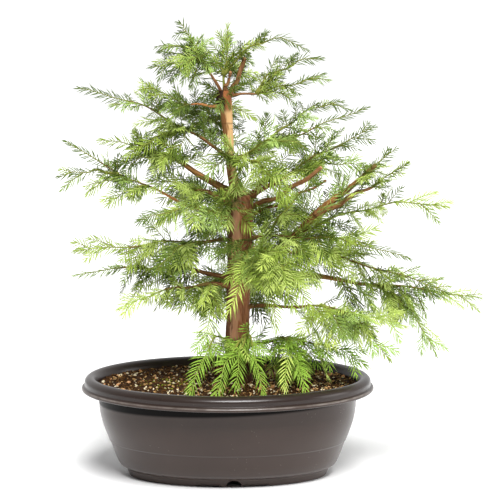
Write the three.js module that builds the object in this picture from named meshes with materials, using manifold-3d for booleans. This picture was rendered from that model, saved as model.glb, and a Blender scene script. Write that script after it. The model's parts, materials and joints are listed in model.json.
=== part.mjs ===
// Dawn redwood bonsai in an oval plastic training pot.
// Millimetres, +Z up. The origin is the middle of the pot's flat underside, and -Y is the front.
// One THREE.Group holds a named mesh for the pot, the soil, the trunk, each bough and each mass of foliage.

import * as THREE from 'three';
import { mergeVertices } from 'three/addons/utils/BufferGeometryUtils.js';
import Module from 'manifold-3d';

const wasm = await Module();
wasm.setup();

// ---------------------------------------------------------------- driving sizes

const CLEARANCE = 0.3; // gap kept between pieces that touch
const WELD = 2e-3; // corners closer than this are one
const UP = new THREE.Vector3(0, 0, 1);

// The pot is a stack of ellipses, and its wall widens faster to the front and back than to the
// sides, so a ring is told by its half width and its height alone.
const POT = {
  sides: 32,
  footHalfDepth: 61,
  frontFlare: 1.28, // growth of a ring's half depth for each mm of half width
  padHalfWidth: 68,
  padDraft: 2, // how much wider the channel's inner wall gets from the ground up
  footDraft: 1, // and how much narrower its outer wall gets
  channelTop: 5,
  footInner: 95,
  footOuter: 102.5,
  lipHalfWidth: 151,
  rimTop: 104.2,
  soilFloor: 12,
};

// The outer wall from the foot up to the rim, which is a roll above a thin bead, and then the inner
// wall down to the floor: half width, height.
const POT_OUTER_WALL = [
  [POT.footOuter, 0],
  [105.5, 8.5],
  [112, 12],
  [116, 20],
  [122.6, 37.5],
  [129.2, 54],
  [132.5, 67],
  [134.4, 89.4],
  [POT.lipHalfWidth, 91.2],
  [150.4, 93.4],
  [148.6, 94.6],
  [148, 99.6],
  [144.2, POT.rimTop],
  [138.6, 103.4],
  [135.5, 99],
];
const POT_INNER_WALL = [
  [132, 84],
  [124.5, 48],
  [110, 16],
  [104, POT.soilFloor],
];
const DRAIN_ARCH = { x: 7, radius: 8, depth: 11, sides: 14 };
const DRAIN_SLOTS = [
  { from: -31, to: -7 },
  { from: 16, to: 43 },
];
const SLOT = { height: 2, depth: 10.5 };

const SOIL = { wallHeight: 96.2, wallHalfWidth: 133.6, top: 97.5, moundHalfWidth: 95, moundHalfDepth: 60 };

// The trunk's stations: height, radius and how far its middle stands to the right.
const TRUNK = [
  { height: SOIL.top + CLEARANCE, radius: 17, x: 10 },
  { height: 104, radius: 14.2, x: 10 },
  { height: 118, radius: 12.8, x: 10 },
  { height: 150, radius: 12.4, x: 10 },
  { height: 190, radius: 12.2, x: 11 },
  { height: 235, radius: 12.2, x: 12 },
  { height: 260, radius: 13, x: 12.5 },
  { height: 275, radius: 14.5, x: 13 },
  { height: 288, radius: 12.8, x: 12.5 },
  { height: 298, radius: 7.6, x: 9.5 },
  { height: 312, radius: 5.2, x: 5 },
  { height: 332, radius: 4.8, x: 2.5 },
  { height: 354, radius: 5.3, x: 0.8 },
  { height: 374, radius: 6.3, x: -1 },
  { height: 386, radius: 8.3, x: -3.2 },
  { height: 393, radius: 8.2, x: -4 },
  { height: 398, radius: 5, x: -4 },
];
const TRUNK_SIDES = 12;
const BOUGH_SIDES = 5;
const STEM_SIDES = 3;

// Every limb is one curve. It leaves the trunk at a height, or another limb at a share of its run,
// heads off at an angle from +X, and ends reach mm away and rise mm higher. bow lifts and sway
// shifts its middle. Its bare share is a bough, thick mm across at the root, and the rest is the
// stem of a mass: side sprays of about spray mm, and a last spray along the final tail mm.
// A limb that leaves a mass's stem is fused into that mass.
// Each row: name, heading, reach, rise, bow, and where the limb starts with what else it needs.
const LIMBS = [
  // top of the crown
  ['crown_left', 180, 64, 46, 22, { height: 392, bare: 0.3, thick: 3 }],
  ['crown_left_low', 200, 53, -6, 0, { on: 'crown_left', at: 0.34 }],
  ['crown_left_up', 150, 22, 33, 4, { on: 'crown_left', at: 0.4, spray: 26, tail: 28 }],
  ['crown_front', 252, 56, -8, 10, { on: 'crown_left', at: 0.32, spray: 32 }],
  ['crown_top', 75, 16, 70, 0, { height: 392, spray: 36 }],
  ['crown_right_up', 10, 38, 28, 6, { on: 'crown_top', at: 0.45, spray: 26, tail: 28 }],
  ['crown_back', 95, 86, 14, 10, { on: 'crown_top', at: 0.3 }],
  ['crown_arch', 345, 86, 27, 22, { on: 'crown_top', at: 0.28, spray: 26, tail: 48 }],
  ['crown_right', 8, 102, 22, -4, { height: 392, bare: 0.28, thick: 3, spray: 40 }],
  ['stub_crown', 5, 21, 42, -6, { height: 388, bare: 1, thick: 5.6 }],
  // leader
  ['left_top', 190, 84, 25, -10, { height: 384, bare: 0.4, thick: 3.2 }],
  ['left_high', 170, 159, 71, 12, { height: 328, bare: 0.24, thick: 3.8, spray: 44, tail: 62 }],
  ['left_high_low', 205, 66, -24, 5, { on: 'left_high', at: 0.28, spray: 44 }],
  ['right_high', 10, 142, 52, 0, { height: 327, bare: 0.18, thick: 4.2, spray: 40, tail: 58 }],
  ['right_high_up', 24, 92, 46, 10, { on: 'right_high', at: 0.22, spray: 36, tail: 44 }],
  ['right_high_front', 316, 104, 26, 18, { height: 318 }],
  ['back_high', 100, 132, 30, 12, { height: 342, spray: 46 }],
  ['back_high_left', 138, 100, 16, 8, { on: 'back_high', at: 0.25 }],
  // knuckle
  ['left_upper', 172, 144, 62, 13, { height: 284, bare: 0.37, thick: 9, spray: 47 }],
  ['left_lower', 192, 92, 31, 6, { height: 277, bare: 0.36, thick: 6 }],
  ['left_upper_low', 200, 66, -4, 6, { on: 'left_upper', at: 0.45 }],
  ['left_long', 186, 176, 83, -8, { height: 264, bare: 0.5, thick: 4.5, spray: 34, tail: 42 }],
  ['left_long_up', 184, 60, -2, 4, { on: 'left_long', at: 0.7, spray: 16, tail: 36 }],
  ['left_long_low', 202, 44, -12, 6, { on: 'left_long', at: 0.64, spray: 20, tail: 30 }],
  ['left_front', 220, 128, 4, 10, { height: 270, spray: 48 }],
  ['right_knuckle', 55, 104, 50, -6, { height: 286, bare: 0.32, thick: 6 }],
  ['right_broken', 340, 87, 46, -6, { height: 276, bare: 1, thick: 5.4 }],
  ['right_mid_up', 20, 148, 76, 4, { height: 281, bare: 0.33, thick: 5.5 }],
  ['right_mid_up_low', 350, 84, 8, 8, { on: 'right_mid_up', at: 0.36, spray: 46 }],
  ['twig_bare', 347, 90, 42, -2, { height: 266, bare: 1, thick: 3 }],
  // middle
  ['right_big', 350, 160, 144, 3, { height: 196, bare: 0.76, thick: 12, spray: 42, tail: 34 }],
  ['right_big_fork', 344, 94, 54, -2, { on: 'right_big', at: 0.5, bare: 0.6, thick: 6.5, spray: 32 }],
  ['right_big_low', 353, 158, 36, 16, { on: 'right_big', at: 0.34, spray: 40, tail: 56 }],
  ['right_mid', 345, 176, -13, 11, { height: 245, bare: 0.14, thick: 4.5, tail: 58 }],
  ['right_thin', 353, 212, -42, 12, { height: 236, bare: 0.3, thick: 4, spray: 42 }],
  ['right_long', 358, 248, -26, 3, { height: 212, bare: 0.4, thick: 8, tail: 56 }],
  ['right_long_low', 344, 60, -68, 12, { on: 'right_long', at: 0.58, spray: 40 }],
  ['left_mid', 190, 168, -8, 2, { height: 245, bare: 0.2, thick: 4, spray: 44, tail: 56 }],
  ['left_mid_low', 174, 170, 2, 10, { height: 204, bare: 0.22, thick: 5.5, spray: 44, tail: 50 }],
  ['left_low', 206, 130, -12, 10, { height: 196, bare: 0.2, thick: 5.5, spray: 40 }],
  ['left_hang', 266, 34, -68, 8, { on: 'left_low', at: 0.24, spray: 34, tail: 48 }],
  ['front_spray', 250, 44, 2, 6, { height: 238, spray: 24, tail: 30 }],
  ['front_drape', 261, 64, -50, 20, { height: 231, sway: 12, spray: 24, tail: 46 }],
  ['front_right', 304, 126, -40, 24, { height: 228 }],
  ['back_left', 122, 150, 26, 12, { height: 262 }],
  ['back_right', 58, 152, 16, 12, { height: 246 }],
  // foot
  ['right_low', 342, 176, -10, 10, { height: 174, bare: 0.38, thick: 4.5 }],
  ['right_low_fork', 332, 76, -48, 10, { on: 'right_low', at: 0.5 }],
  ['back_low', 98, 148, -8, 16, { height: 186 }],
  ['back_low_right', 40, 100, -10, 10, { on: 'back_low', at: 0.25 }],
  ['base_right', 345, 134, -8, 18, { height: 130, bare: 0.25, thick: 4.2 }],
  ['base_right_front', 265, 72, -37, 16, { on: 'base_right', at: 0.42, spray: 24, tail: 46 }],
  ['base_right_side', 288, 76, -36, 16, { on: 'base_right', at: 0.34, spray: 26, tail: 46 }],
  ['base_front', 285, 99, -26, 32, { height: 131, spray: 26, tail: 50 }],
  ['base_front_low', 245, 67, -47, 10, { on: 'base_front', at: 0.3, spray: 22, tail: 48 }],
  ['front_low', 257, 45, -43, 10, { on: 'base_front', at: 0.32, spray: 20, tail: 36 }],
  ['base_left', 242, 98, -27, 30, { height: 131, spray: 28, tail: 48 }],
  // fillers between the masses
  ['crown_right_tip', 4, 64, 36, 10, { on: 'crown_right', at: 0.34, spray: 30, tail: 32 }],
  ['left_high_front', 258, 44, -22, 6, { on: 'left_high', at: 0.27, spray: 32 }],
  ['leader_front', 222, 42, -14, 8, { on: 'right_high_front', at: 0.12, spray: 30, tail: 28 }],
  ['right_high_low', 305, 80, -34, 8, { on: 'right_high_front', at: 0.14, spray: 40 }],
  ['left_long_mid', 200, 42, -16, 4, { on: 'left_long', at: 0.53, spray: 20, tail: 28 }],
  ['left_mid_front', 232, 70, -22, 8, { on: 'left_mid', at: 0.24, spray: 40 }],
  ['crown_right_back', 50, 40, 36, 4, { on: 'crown_right', at: 0.33, spray: 28, tail: 30 }],
  ['right_cover', 316, 66, 60, 6, { on: 'right_mid', at: 0.17, spray: 36 }],
  ['left_upper_front', 246, 52, 6, 12, { on: 'left_upper', at: 0.4, spray: 38 }],
  ['leader_low', 292, 38, 36, 8, { on: 'left_front', at: 0.13, spray: 28, tail: 28 }],
  ['front_right_low', 300, 74, -46, 10, { on: 'front_right', at: 0.24, spray: 40 }],
  ['front_right_in', 285, 60, -66, 14, { on: 'front_right', at: 0.3, spray: 36 }],
  ['stub_twig', 335, 8, 24, 0, { height: 392, bare: 1, thick: 4 }],
];
const LIMB_DEFAULTS = { bare: 0, thick: 3.4, sway: 0, spray: 50, tail: 42 };
const CROOK = { reach: 1.8, level: 3, upright: 5 }; // how far a limb wanders, mm, and half waves on its way
const TIP = { bough: 0.45, stub: 0.75, stem: 1.5 }; // two shares of the root's thickness, and mm
const SHORTEST = { bough: 0.5, stem: 0.1 }; // share of the limb that a taper and a stem take at least
const BOUGH_STEP = 24; // longest run between two rings, mm
const STEM_STEP = 40;
const SLOPE_STEP = 0.01; // share of a limb over which its slope is read
const BOUGH_GAP = 1.3 * CLEARANCE; // gap cut round a bough where another one leaves it

// Side sprays leave a stem by turns on its two sides, and every third one stands up from it.
const SPRAY = {
  spacing: 17,
  shift: 0.7, // where in its step each spray stands
  leanFromStem: 54,
  leanJitter: 14,
  rollJitter: 64,
  lift: 58,
  droop: 0.16,
  tipShare: 0.58, // length of the last side spray, as a share of the first
  lengthJitter: 0.36,
  twist: 75, // most that a spray's face turns from lying flat, either way
  tailTwist: [32, 62], // least and most for a limb's last spray, which faces the front
  fitShares: [1, 0.72, 0.5], // a spray that touches something is tried shorter, then left out
};
// A spray is a toothed blade: a raised midrib, and on each side one tooth for a fan of needles.
const BLADE = {
  halfWidth: 1.3,
  ribHeight: 1.5,
  slimming: 0.5, // share of the rib's width that is gone at its tip
  toothPitch: 19,
  toothReach: 13.5,
  toothSwell: 0.25, // share by which the longest tooth outgrows the rest
  longestTooth: 0.25, // where that one stands
  toothForward: 0.62, // where between two ribs a tooth stands
  toothSweep: 0.55, // how far its point leans to the tip, as a share of its reach
  mostPairs: 4,
  slopeStep: 0.05,
};
const STEEP = { ring: 0.05, spray: 0.35 }; // level part of a direction below which it counts as upright
const UPRIGHT_LEAN = 0.4; // how much an upright spray's face is turned to the front

const MATERIALS = {
  pot: new THREE.MeshStandardMaterial({ color: 0x5a4f4c, roughness: 0.5, metalness: 0 }),
  soil: new THREE.MeshStandardMaterial({ color: 0x3a2a1e, roughness: 0.95, metalness: 0 }),
  bark: new THREE.MeshStandardMaterial({ color: 0x7a4a34, roughness: 0.85, metalness: 0 }),
  needles: new THREE.MeshStandardMaterial({ color: 0x6f9a34, roughness: 0.6, metalness: 0 }),
};

// ---------------------------------------------------------------- solids

/** A number from 0 to 1 that is the same each time for the same seed and indices. */
function chance(seed, i, j) {
  const wave = Math.sin(seed * 12.9898 + i * 78.233 + j * 37.719) * 43758.5453;
  return wave - Math.floor(wave);
}

/** A solid from a list of points and triangles. */
function solidFrom(points, triangles) {
  return new wasm.Manifold(new wasm.Mesh({
    numProp: 3,
    vertProperties: Float32Array.from(points.flatMap((p) => [p.x, p.y, p.z])),
    triVerts: Uint32Array.from(triangles.flat()),
  }));
}

/** A solid from a closed three.js geometry, with its shared corners merged. */
function solidFromGeometry(geometry) {
  const bare = geometry.clone();
  bare.deleteAttribute('normal');
  bare.deleteAttribute('uv');
  const merged = mergeVertices(bare, WELD);
  return new wasm.Manifold(new wasm.Mesh({
    numProp: 3,
    vertProperties: new Float32Array(merged.attributes.position.array),
    triVerts: new Uint32Array(merged.index.array),
  }));
}

/** A closed solid through rings of equal length, counter-clockwise seen from the last one. */
function loft(rings) {
  const sides = rings[0].length;
  const points = rings.flat();
  const triangles = [];
  for (let r = 0; r + 1 < rings.length; r += 1) {
    for (let i = 0; i < sides; i += 1) {
      const a = r * sides + i;
      const b = r * sides + (i + 1) % sides;
      triangles.push([a, b, b + sides], [a, b + sides, a + sides]);
    }
  }
  const last = (rings.length - 1) * sides;
  for (let i = 1; i + 1 < sides; i += 1) {
    triangles.push([0, i + 1, i], [last, last + i, last + i + 1]);
  }
  return solidFrom(points, triangles);
}

/** A three.js geometry with the points and triangles of a solid. */
function geometryFrom(solid) {
  const { vertProperties, triVerts } = solid.getMesh();
  const geometry = new THREE.BufferGeometry();
  geometry.setAttribute('position', new THREE.BufferAttribute(new Float32Array(vertProperties), 3));
  geometry.setIndex(new THREE.BufferAttribute(new Uint32Array(triVerts), 1));
  return geometry;
}

/** A mesh for the scene from a solid: loose scraps and sealed hollows are dropped. */
function meshFrom(name, solid, material) {
  const welded = solidFromGeometry(geometryFrom(largestPiece(solid)));
  const geometry = geometryFrom(largestPiece(welded));
  geometry.computeVertexNormals();
  const mesh = new THREE.Mesh(geometry, material);
  mesh.name = name;
  return mesh;
}

/** The largest of the separate shells of a solid. */
function largestPiece(solid) {
  const pieces = solid.decompose();
  return pieces.reduce((best, piece) => (piece.volume() > best.volume() ? piece : best), pieces[0]);
}

/** The box round a solid. */
function boxOf(solid) {
  const { min, max } = solid.boundingBox();
  return new THREE.Box3(new THREE.Vector3(...min), new THREE.Vector3(...max));
}

/** True where two solids come closer than the clearance. */
function touches(a, b) {
  if (!a.box.clone().expandByScalar(CLEARANCE).intersectsBox(b.box)) return false;
  return a.solid.minGap(b.solid, 2 * CLEARANCE) < CLEARANCE;
}

// ---------------------------------------------------------------- pot and soil

/** How deep a ring of the pot is for its half width. */
function potHalfDepth(halfWidth) {
  return POT.footHalfDepth + (halfWidth - POT.footOuter) * POT.frontFlare;
}

/** An elliptical ring of the pot at one height. */
function ovalRing(halfWidth, height, halfDepth = potHalfDepth(halfWidth)) {
  return Array.from({ length: POT.sides }, (_, i) => {
    const angle = 2 * Math.PI * i / POT.sides;
    return new THREE.Vector3(halfWidth * Math.cos(angle), halfDepth * Math.sin(angle), height);
  });
}

/** The hollow pot: a flat pad and a foot ring below, a rolled rim above, drain cuts at front and back. */
function makePot() {
  const underside = [
    ovalRing(POT.padHalfWidth, 0),
    ovalRing(POT.padHalfWidth + POT.padDraft, POT.channelTop),
    ovalRing(POT.footInner - POT.footDraft, POT.channelTop),
    ovalRing(POT.footInner, 0),
  ];
  const profile = [...POT_OUTER_WALL, ...POT_INNER_WALL];
  const walls = profile.map(([halfWidth, height]) => ovalRing(halfWidth, height));
  let pot = loft([...underside, ...walls]);
  for (const side of [-1, 1]) {
    const { x, radius, depth, sides } = DRAIN_ARCH;
    const arch = new THREE.CylinderGeometry(radius, radius, 2 * depth, sides);
    arch.translate(x, side * POT.footHalfDepth, 0);
    pot = pot.subtract(solidFromGeometry(arch));
    for (const { from, to } of DRAIN_SLOTS) {
      const slot = new THREE.BoxGeometry(to - from, 2 * SLOT.depth, 2 * SLOT.height);
      slot.translate((from + to) / 2, side * POT.footHalfDepth, 0);
      pot = pot.subtract(solidFromGeometry(slot));
    }
  }
  return pot;
}

/** The soil, clear of the inner wall, with a flat-topped mound under the tree. */
function makeSoil() {
  const sides = [...POT_INNER_WALL].reverse().map(([halfWidth, height], i) => (
    ovalRing(halfWidth - 2 * CLEARANCE, i === 0 ? height + CLEARANCE : height)
  ));
  return loft([
    ...sides,
    ovalRing(SOIL.wallHalfWidth, SOIL.wallHeight),
    ovalRing(SOIL.moundHalfWidth, SOIL.top, SOIL.moundHalfDepth),
  ]);
}

// ---------------------------------------------------------------- limbs

/** The middle of the trunk at a height. */
function trunkAxis(height) {
  const next = Math.max(1, TRUNK.findIndex((station) => station.height >= height));
  const [low, high] = [TRUNK[next - 1], TRUNK[next]];
  const share = (height - low.height) / (high.height - low.height);
  return new THREE.Vector3(THREE.MathUtils.lerp(low.x, high.x, share), 0, height);
}

/** A round ring of a limb, square to the way that it runs. */
function limbRing(middle, along, radius, sides) {
  const side = new THREE.Vector3().crossVectors(UP, along);
  if (side.length() < STEEP.ring) side.set(0, 1, 0);
  side.normalize();
  const top = new THREE.Vector3().crossVectors(along, side);
  return Array.from({ length: sides }, (_, i) => {
    const angle = 2 * Math.PI * i / sides + Math.PI / 2;
    return middle.clone()
      .addScaledVector(side, radius * Math.cos(angle))
      .addScaledVector(top, radius * Math.sin(angle));
  });
}

/** The trunk, or a stouter copy of it that cuts the limbs' roots clear. */
function makeTrunk(extra = 0) {
  return loft(TRUNK.map(({ height, radius, x }, station) => (
    Array.from({ length: TRUNK_SIDES }, (_, i) => {
      const angle = 2 * Math.PI * i / TRUNK_SIDES;
      const reach = radius + extra;
      const level = station === TRUNK.length - 1 ? height + extra : height;
      return new THREE.Vector3(x + reach * Math.cos(angle), reach * Math.sin(angle), level);
    })
  )));
}

/** One limb's curve, with the limbs that it may leave already made. */
class Limb {
  constructor([name, heading, reach, rise, bow, more], seed, others) {
    Object.assign(this, LIMB_DEFAULTS, { name, heading, reach, rise, bow, seed }, more);
    this.parent = this.on ? others.get(this.on) : null;
    this.base = this.parent ? this.parent.point(this.at) : trunkAxis(this.height);
    const angle = THREE.MathUtils.degToRad(heading);
    this.out = new THREE.Vector3(Math.cos(angle), Math.sin(angle), 0);
    this.across = new THREE.Vector3(-this.out.y, this.out.x, 0);
    this.length = this.point(0).distanceTo(this.point(0.5)) + this.point(0.5).distanceTo(this.point(1));
    this.tailStart = Math.max(this.bare + SHORTEST.stem, 1 - this.tail / this.length);
    this.fused = Boolean(this.parent && this.at > this.parent.bare && this.bare === 0);
  }

  /** The point at a share of the limb's run. */
  point(t) {
    const hump = 4 * t * (1 - t);
    const wander = CROOK.reach * Math.sin(CROOK.level * Math.PI * t + this.seed);
    const nod = CROOK.reach * Math.sin(CROOK.upright * Math.PI * t + 2 * this.seed);
    return this.base.clone()
      .addScaledVector(this.out, this.reach * t)
      .addScaledVector(this.across, (this.sway + wander) * hump)
      .addScaledVector(UP, this.rise * t + (this.bow + nod) * hump);
  }

  /** The way that the limb runs at a share of it. */
  along(t) {
    return this.point(t + SLOPE_STEP).sub(this.point(t - SLOPE_STEP)).normalize();
  }

  /** The limb's radius at a share of it. */
  radius(t) {
    const root = this.thick / 2;
    const tip = root * (this.bare === 1 ? TIP.stub : TIP.bough);
    const woody = THREE.MathUtils.lerp(root, tip, t / Math.max(this.bare, SHORTEST.bough));
    return Math.max(woody, TIP.stem / 2);
  }

  /** A tube along a stretch of the limb. */
  tube(from, to, sides, step, extra = 0) {
    const steps = Math.max(1, Math.ceil((to - from) * this.length / step));
    return loft(Array.from({ length: steps + 1 }, (_, i) => {
      const t = THREE.MathUtils.lerp(from, to, i / steps);
      return limbRing(this.point(t), this.along(t), this.radius(t) + extra, sides);
    }));
  }
}

// ---------------------------------------------------------------- foliage

/** The sprays of one limb: each has a root, a direction, a length, and the way its face looks. */
function planSprays(limb) {
  const stretch = limb.tailStart - limb.bare;
  const count = Math.max(2, Math.round(stretch * limb.length / SPRAY.spacing));
  const sprays = [];
  for (let i = 0; i < count; i += 1) {
    const share = (i + SPRAY.shift) / count;
    const t = limb.bare + stretch * share;
    const along = limb.along(t);
    const side = new THREE.Vector3().crossVectors(along, UP).normalize();
    const top = new THREE.Vector3().crossVectors(side, along);
    const roll = (chance(limb.seed, i, 1) - 0.5) * SPRAY.rollJitter + (i % 3 === 2 ? SPRAY.lift : 0);
    const lean = SPRAY.leanFromStem + (chance(limb.seed, i, 2) - 0.5) * 2 * SPRAY.leanJitter;
    const [rollAngle, leanAngle] = [roll, lean].map(THREE.MathUtils.degToRad);
    const hand = i % 2 === 0 ? 1 : -1;
    const away = side.clone().multiplyScalar(hand * Math.cos(rollAngle))
      .addScaledVector(top, Math.sin(rollAngle));
    const heading = along.clone().multiplyScalar(Math.cos(leanAngle))
      .addScaledVector(away, Math.sin(leanAngle));
    const taper = THREE.MathUtils.lerp(1, SPRAY.tipShare, share);
    const length = limb.spray * taper * (1 + (chance(limb.seed, i, 3) - 0.5) * SPRAY.lengthJitter);
    const twist = THREE.MathUtils.degToRad(SPRAY.twist * (2 * chance(limb.seed, i, 4) - 1));
    sprays.push({ root: limb.point(t), heading, length, twist });
  }
  return sprays;
}

/** How far a limb's last spray turns about its own midrib. */
function tailTwist(limb) {
  const turn = THREE.MathUtils.lerp(...SPRAY.tailTwist, chance(limb.seed, 0, 4));
  return THREE.MathUtils.degToRad(limb.out.x < 0 ? -turn : turn);
}

/** A toothed blade along an axis, which is a function of a share from 0 to 1. */
function makeBlade(axis, length, twist) {
  const pairs = THREE.MathUtils.clamp(Math.round(length / BLADE.toothPitch), 2, BLADE.mostPairs);
  const points = [];
  const triangles = [];
  for (let i = 0; i < pairs; i += 1) {
    const share = i / pairs;
    const middle = axis(share);
    const along = axis(share + BLADE.slopeStep).sub(middle).normalize();
    const side = spraySide(along).applyAxisAngle(along, twist);
    const face = new THREE.Vector3().crossVectors(side, along);
    const slim = 1 - BLADE.slimming * share;
    points.push(
      middle.clone().addScaledVector(face, BLADE.ribHeight * slim),
      middle.clone().addScaledVector(side, -BLADE.halfWidth * slim),
      middle.clone().addScaledVector(side, BLADE.halfWidth * slim),
    );
    const swell = Math.cos(Math.PI * (share - BLADE.longestTooth)) - 1;
    const tooth = BLADE.toothReach * (1 + BLADE.toothSwell * swell);
    const sweep = tooth * BLADE.toothSweep;
    const root = axis((i + BLADE.toothForward) / pairs);
    points.push(
      root.clone().addScaledVector(side, -tooth).addScaledVector(along, sweep),
      root.clone().addScaledVector(side, tooth).addScaledVector(along, sweep),
    );
  }
  points.push(axis(1));
  const end = points.length - 1;
  triangles.push([0, 1, 2]);
  for (let i = 0; i < pairs; i += 1) {
    const [rib, left, right, leftTooth, rightTooth] = [0, 1, 2, 3, 4].map((k) => 5 * i + k);
    if (i + 1 < pairs) {
      const [nextRib, nextLeft, nextRight] = [0, 1, 2].map((k) => 5 * (i + 1) + k);
      triangles.push(
        [rib, nextRib, leftTooth], [nextRib, nextLeft, leftTooth],
        [nextLeft, left, leftTooth], [left, rib, leftTooth],
        [nextRib, rib, rightTooth], [nextRight, nextRib, rightTooth],
        [right, nextRight, rightTooth], [rib, right, rightTooth],
        [left, nextLeft, nextRight], [left, nextRight, right],
      );
    } else {
      triangles.push(
        [rib, end, leftTooth], [end, left, leftTooth], [left, rib, leftTooth],
        [end, rib, rightTooth], [right, end, rightTooth], [rib, right, rightTooth],
        [left, end, right],
      );
    }
  }
  return solidFrom(points, triangles);
}

/** The sideways direction of a spray's flat face. */
function spraySide(along) {
  const side = new THREE.Vector3().crossVectors(along, UP);
  if (side.length() < STEEP.spray) {
    side.x += UPRIGHT_LEAN;
    side.addScaledVector(along, -UPRIGHT_LEAN * along.x);
  }
  return side.normalize();
}

/** The curve of a side spray: straight out of the stem, then drooping. */
function sprayAxis({ root, heading, length }) {
  return (share) => root.clone()
    .addScaledVector(heading, length * share)
    .addScaledVector(UP, -SPRAY.droop * length * share * share);
}

/** The curve of a limb's last spray, which is the end of the limb itself. */
function tailAxis(limb) {
  return (share) => limb.point(THREE.MathUtils.lerp(limb.tailStart, 1, share));
}

// ---------------------------------------------------------------- assembly

/** The whole tree and its pot as one group of named meshes. */
function makeBonsai() {
  const group = new THREE.Group();
  const pot = makePot();
  const soil = makeSoil();
  const trunk = makeTrunk();
  group.add(meshFrom('pot', pot, MATERIALS.pot));
  group.add(meshFrom('soil', soil, MATERIALS.soil));
  group.add(meshFrom('trunk', trunk, MATERIALS.bark));

  const limbs = new Map();
  LIMBS.forEach((row, index) => limbs.set(row[0], new Limb(row, index + 1, limbs)));
  const stoutTrunk = makeTrunk(CLEARANCE);
  const solids = [pot, soil, trunk].map((solid) => ({ solid, box: boxOf(solid), owner: null }));
  addBoughs(group, limbs, stoutTrunk, solids);
  addFoliage(group, limbs, stoutTrunk, solids);
  return group;
}

/** The boughs, each cut clear of the trunk and of the boughs before it. */
function addBoughs(group, limbs, stoutTrunk, solids) {
  const stoutBoughs = [stoutTrunk];
  for (const limb of limbs.values()) {
    if (limb.bare === 0) continue;
    const whole = limb.tube(0, limb.bare, BOUGH_SIDES, BOUGH_STEP);
    const bough = largestPiece(stoutBoughs.reduce((rest, stout) => rest.subtract(stout), whole));
    stoutBoughs.push(limb.tube(0, limb.bare, BOUGH_SIDES, BOUGH_STEP, BOUGH_GAP));
    solids.push({ solid: bough, box: boxOf(bough), owner: null });
    limb.stout = stoutBoughs.at(-1);
    group.add(meshFrom(`bough_${limb.name}`, bough, MATERIALS.bark));
  }
}

/** The masses: stems first, then every spray that stays clear of all that isn't its own mass. */
function addFoliage(group, limbs, stoutTrunk, solids) {
  const masses = new Map();
  for (const limb of limbs.values()) {
    if (limb.bare === 1) continue;
    const start = limb.bare > 0 ? limb.bare + CLEARANCE / limb.length : 0;
    const owner = limb.fused ? limb.parent.owner : limb.name;
    limb.owner = owner;
    let stem = limb.tube(start, limb.tailStart, STEM_SIDES, STEM_STEP);
    if (!limb.fused && limb.bare === 0) {
      stem = stem.subtract(stoutTrunk);
      if (limb.parent) stem = stem.subtract(limb.parent.stout);
      stem = largestPiece(stem);
    }
    if (!masses.has(owner)) masses.set(owner, []);
    masses.get(owner).push(stem);
    solids.push({ solid: stem, box: boxOf(stem), owner });
  }
  const leafy = [...limbs.values()].filter((limb) => limb.bare < 1);
  for (const limb of leafy) {
    placeBlade(limb, [makeBlade(tailAxis(limb), limb.tail, tailTwist(limb))], masses, solids);
  }
  const plans = leafy.map((limb) => ({ limb, sprays: planSprays(limb) }));
  const most = Math.max(...plans.map(({ sprays }) => sprays.length));
  for (let i = 0; i < most; i += 1) {
    for (const { limb, sprays } of plans) {
      if (i >= sprays.length) continue;
      const blades = SPRAY.fitShares.map((share) => {
        const spray = { ...sprays[i], length: sprays[i].length * share };
        return makeBlade(sprayAxis(spray), spray.length, spray.twist);
      });
      placeBlade(limb, blades, masses, solids);
    }
  }
  for (const [name, pieces] of masses) {
    group.add(meshFrom(`foliage_${name}`, wasm.Manifold.union(pieces), MATERIALS.needles));
  }
}

/** Adds the first of some blades that stays clear of all that isn't its own mass, or none. */
function placeBlade(limb, blades, masses, solids) {
  for (const solid of blades) {
    const blade = { solid, box: boxOf(solid), owner: limb.owner };
    if (solids.some((other) => other.owner !== limb.owner && touches(blade, other))) continue;
    masses.get(limb.owner).push(solid);
    solids.push(blade);
    return;
  }
}

export default makeBonsai();
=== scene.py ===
"""A dawn redwood bonsai in an oval training pot, dressed for the studio.

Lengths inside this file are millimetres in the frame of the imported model, +Z up and -Y to the front.
They become metres when a mesh is written.
"""

import json
import logging
import math
from collections.abc import Iterable, Sequence
from dataclasses import dataclass, field
from enum import Enum, IntEnum
from functools import cache
from typing import ClassVar

import bmesh
import bpy
import numpy as np
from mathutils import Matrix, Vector, noise

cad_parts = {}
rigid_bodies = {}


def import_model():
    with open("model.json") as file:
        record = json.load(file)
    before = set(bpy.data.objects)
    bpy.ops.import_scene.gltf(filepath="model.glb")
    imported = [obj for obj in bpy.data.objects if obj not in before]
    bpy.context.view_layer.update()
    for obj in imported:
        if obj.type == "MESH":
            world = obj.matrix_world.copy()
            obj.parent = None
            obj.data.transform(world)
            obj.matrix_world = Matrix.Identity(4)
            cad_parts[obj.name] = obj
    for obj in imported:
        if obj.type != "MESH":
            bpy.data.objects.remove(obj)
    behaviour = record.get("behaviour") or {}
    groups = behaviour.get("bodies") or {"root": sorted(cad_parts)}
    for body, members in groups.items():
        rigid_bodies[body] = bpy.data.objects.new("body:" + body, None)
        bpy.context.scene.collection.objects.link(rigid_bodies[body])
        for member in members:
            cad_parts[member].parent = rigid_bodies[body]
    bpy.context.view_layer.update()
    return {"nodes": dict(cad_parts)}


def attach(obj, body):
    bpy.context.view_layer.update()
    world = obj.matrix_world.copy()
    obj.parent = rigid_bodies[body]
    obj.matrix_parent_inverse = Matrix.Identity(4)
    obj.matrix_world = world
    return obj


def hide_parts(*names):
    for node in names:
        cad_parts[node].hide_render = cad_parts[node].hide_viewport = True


LOG = logging.getLogger("bonsai")
MM = 0.001
UP = np.array([0.0, 0.0, 1.0])
RIGHT = np.array([1.0, 0.0, 0.0])
BODY = "root"
GRAIN = "grain"  # vertex attribute: a limb's own coordinates, across and along it, in metres
SEED = 20
TRUNK_X = 10.0  # how far right of the pot's middle the trunk stands
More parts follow.
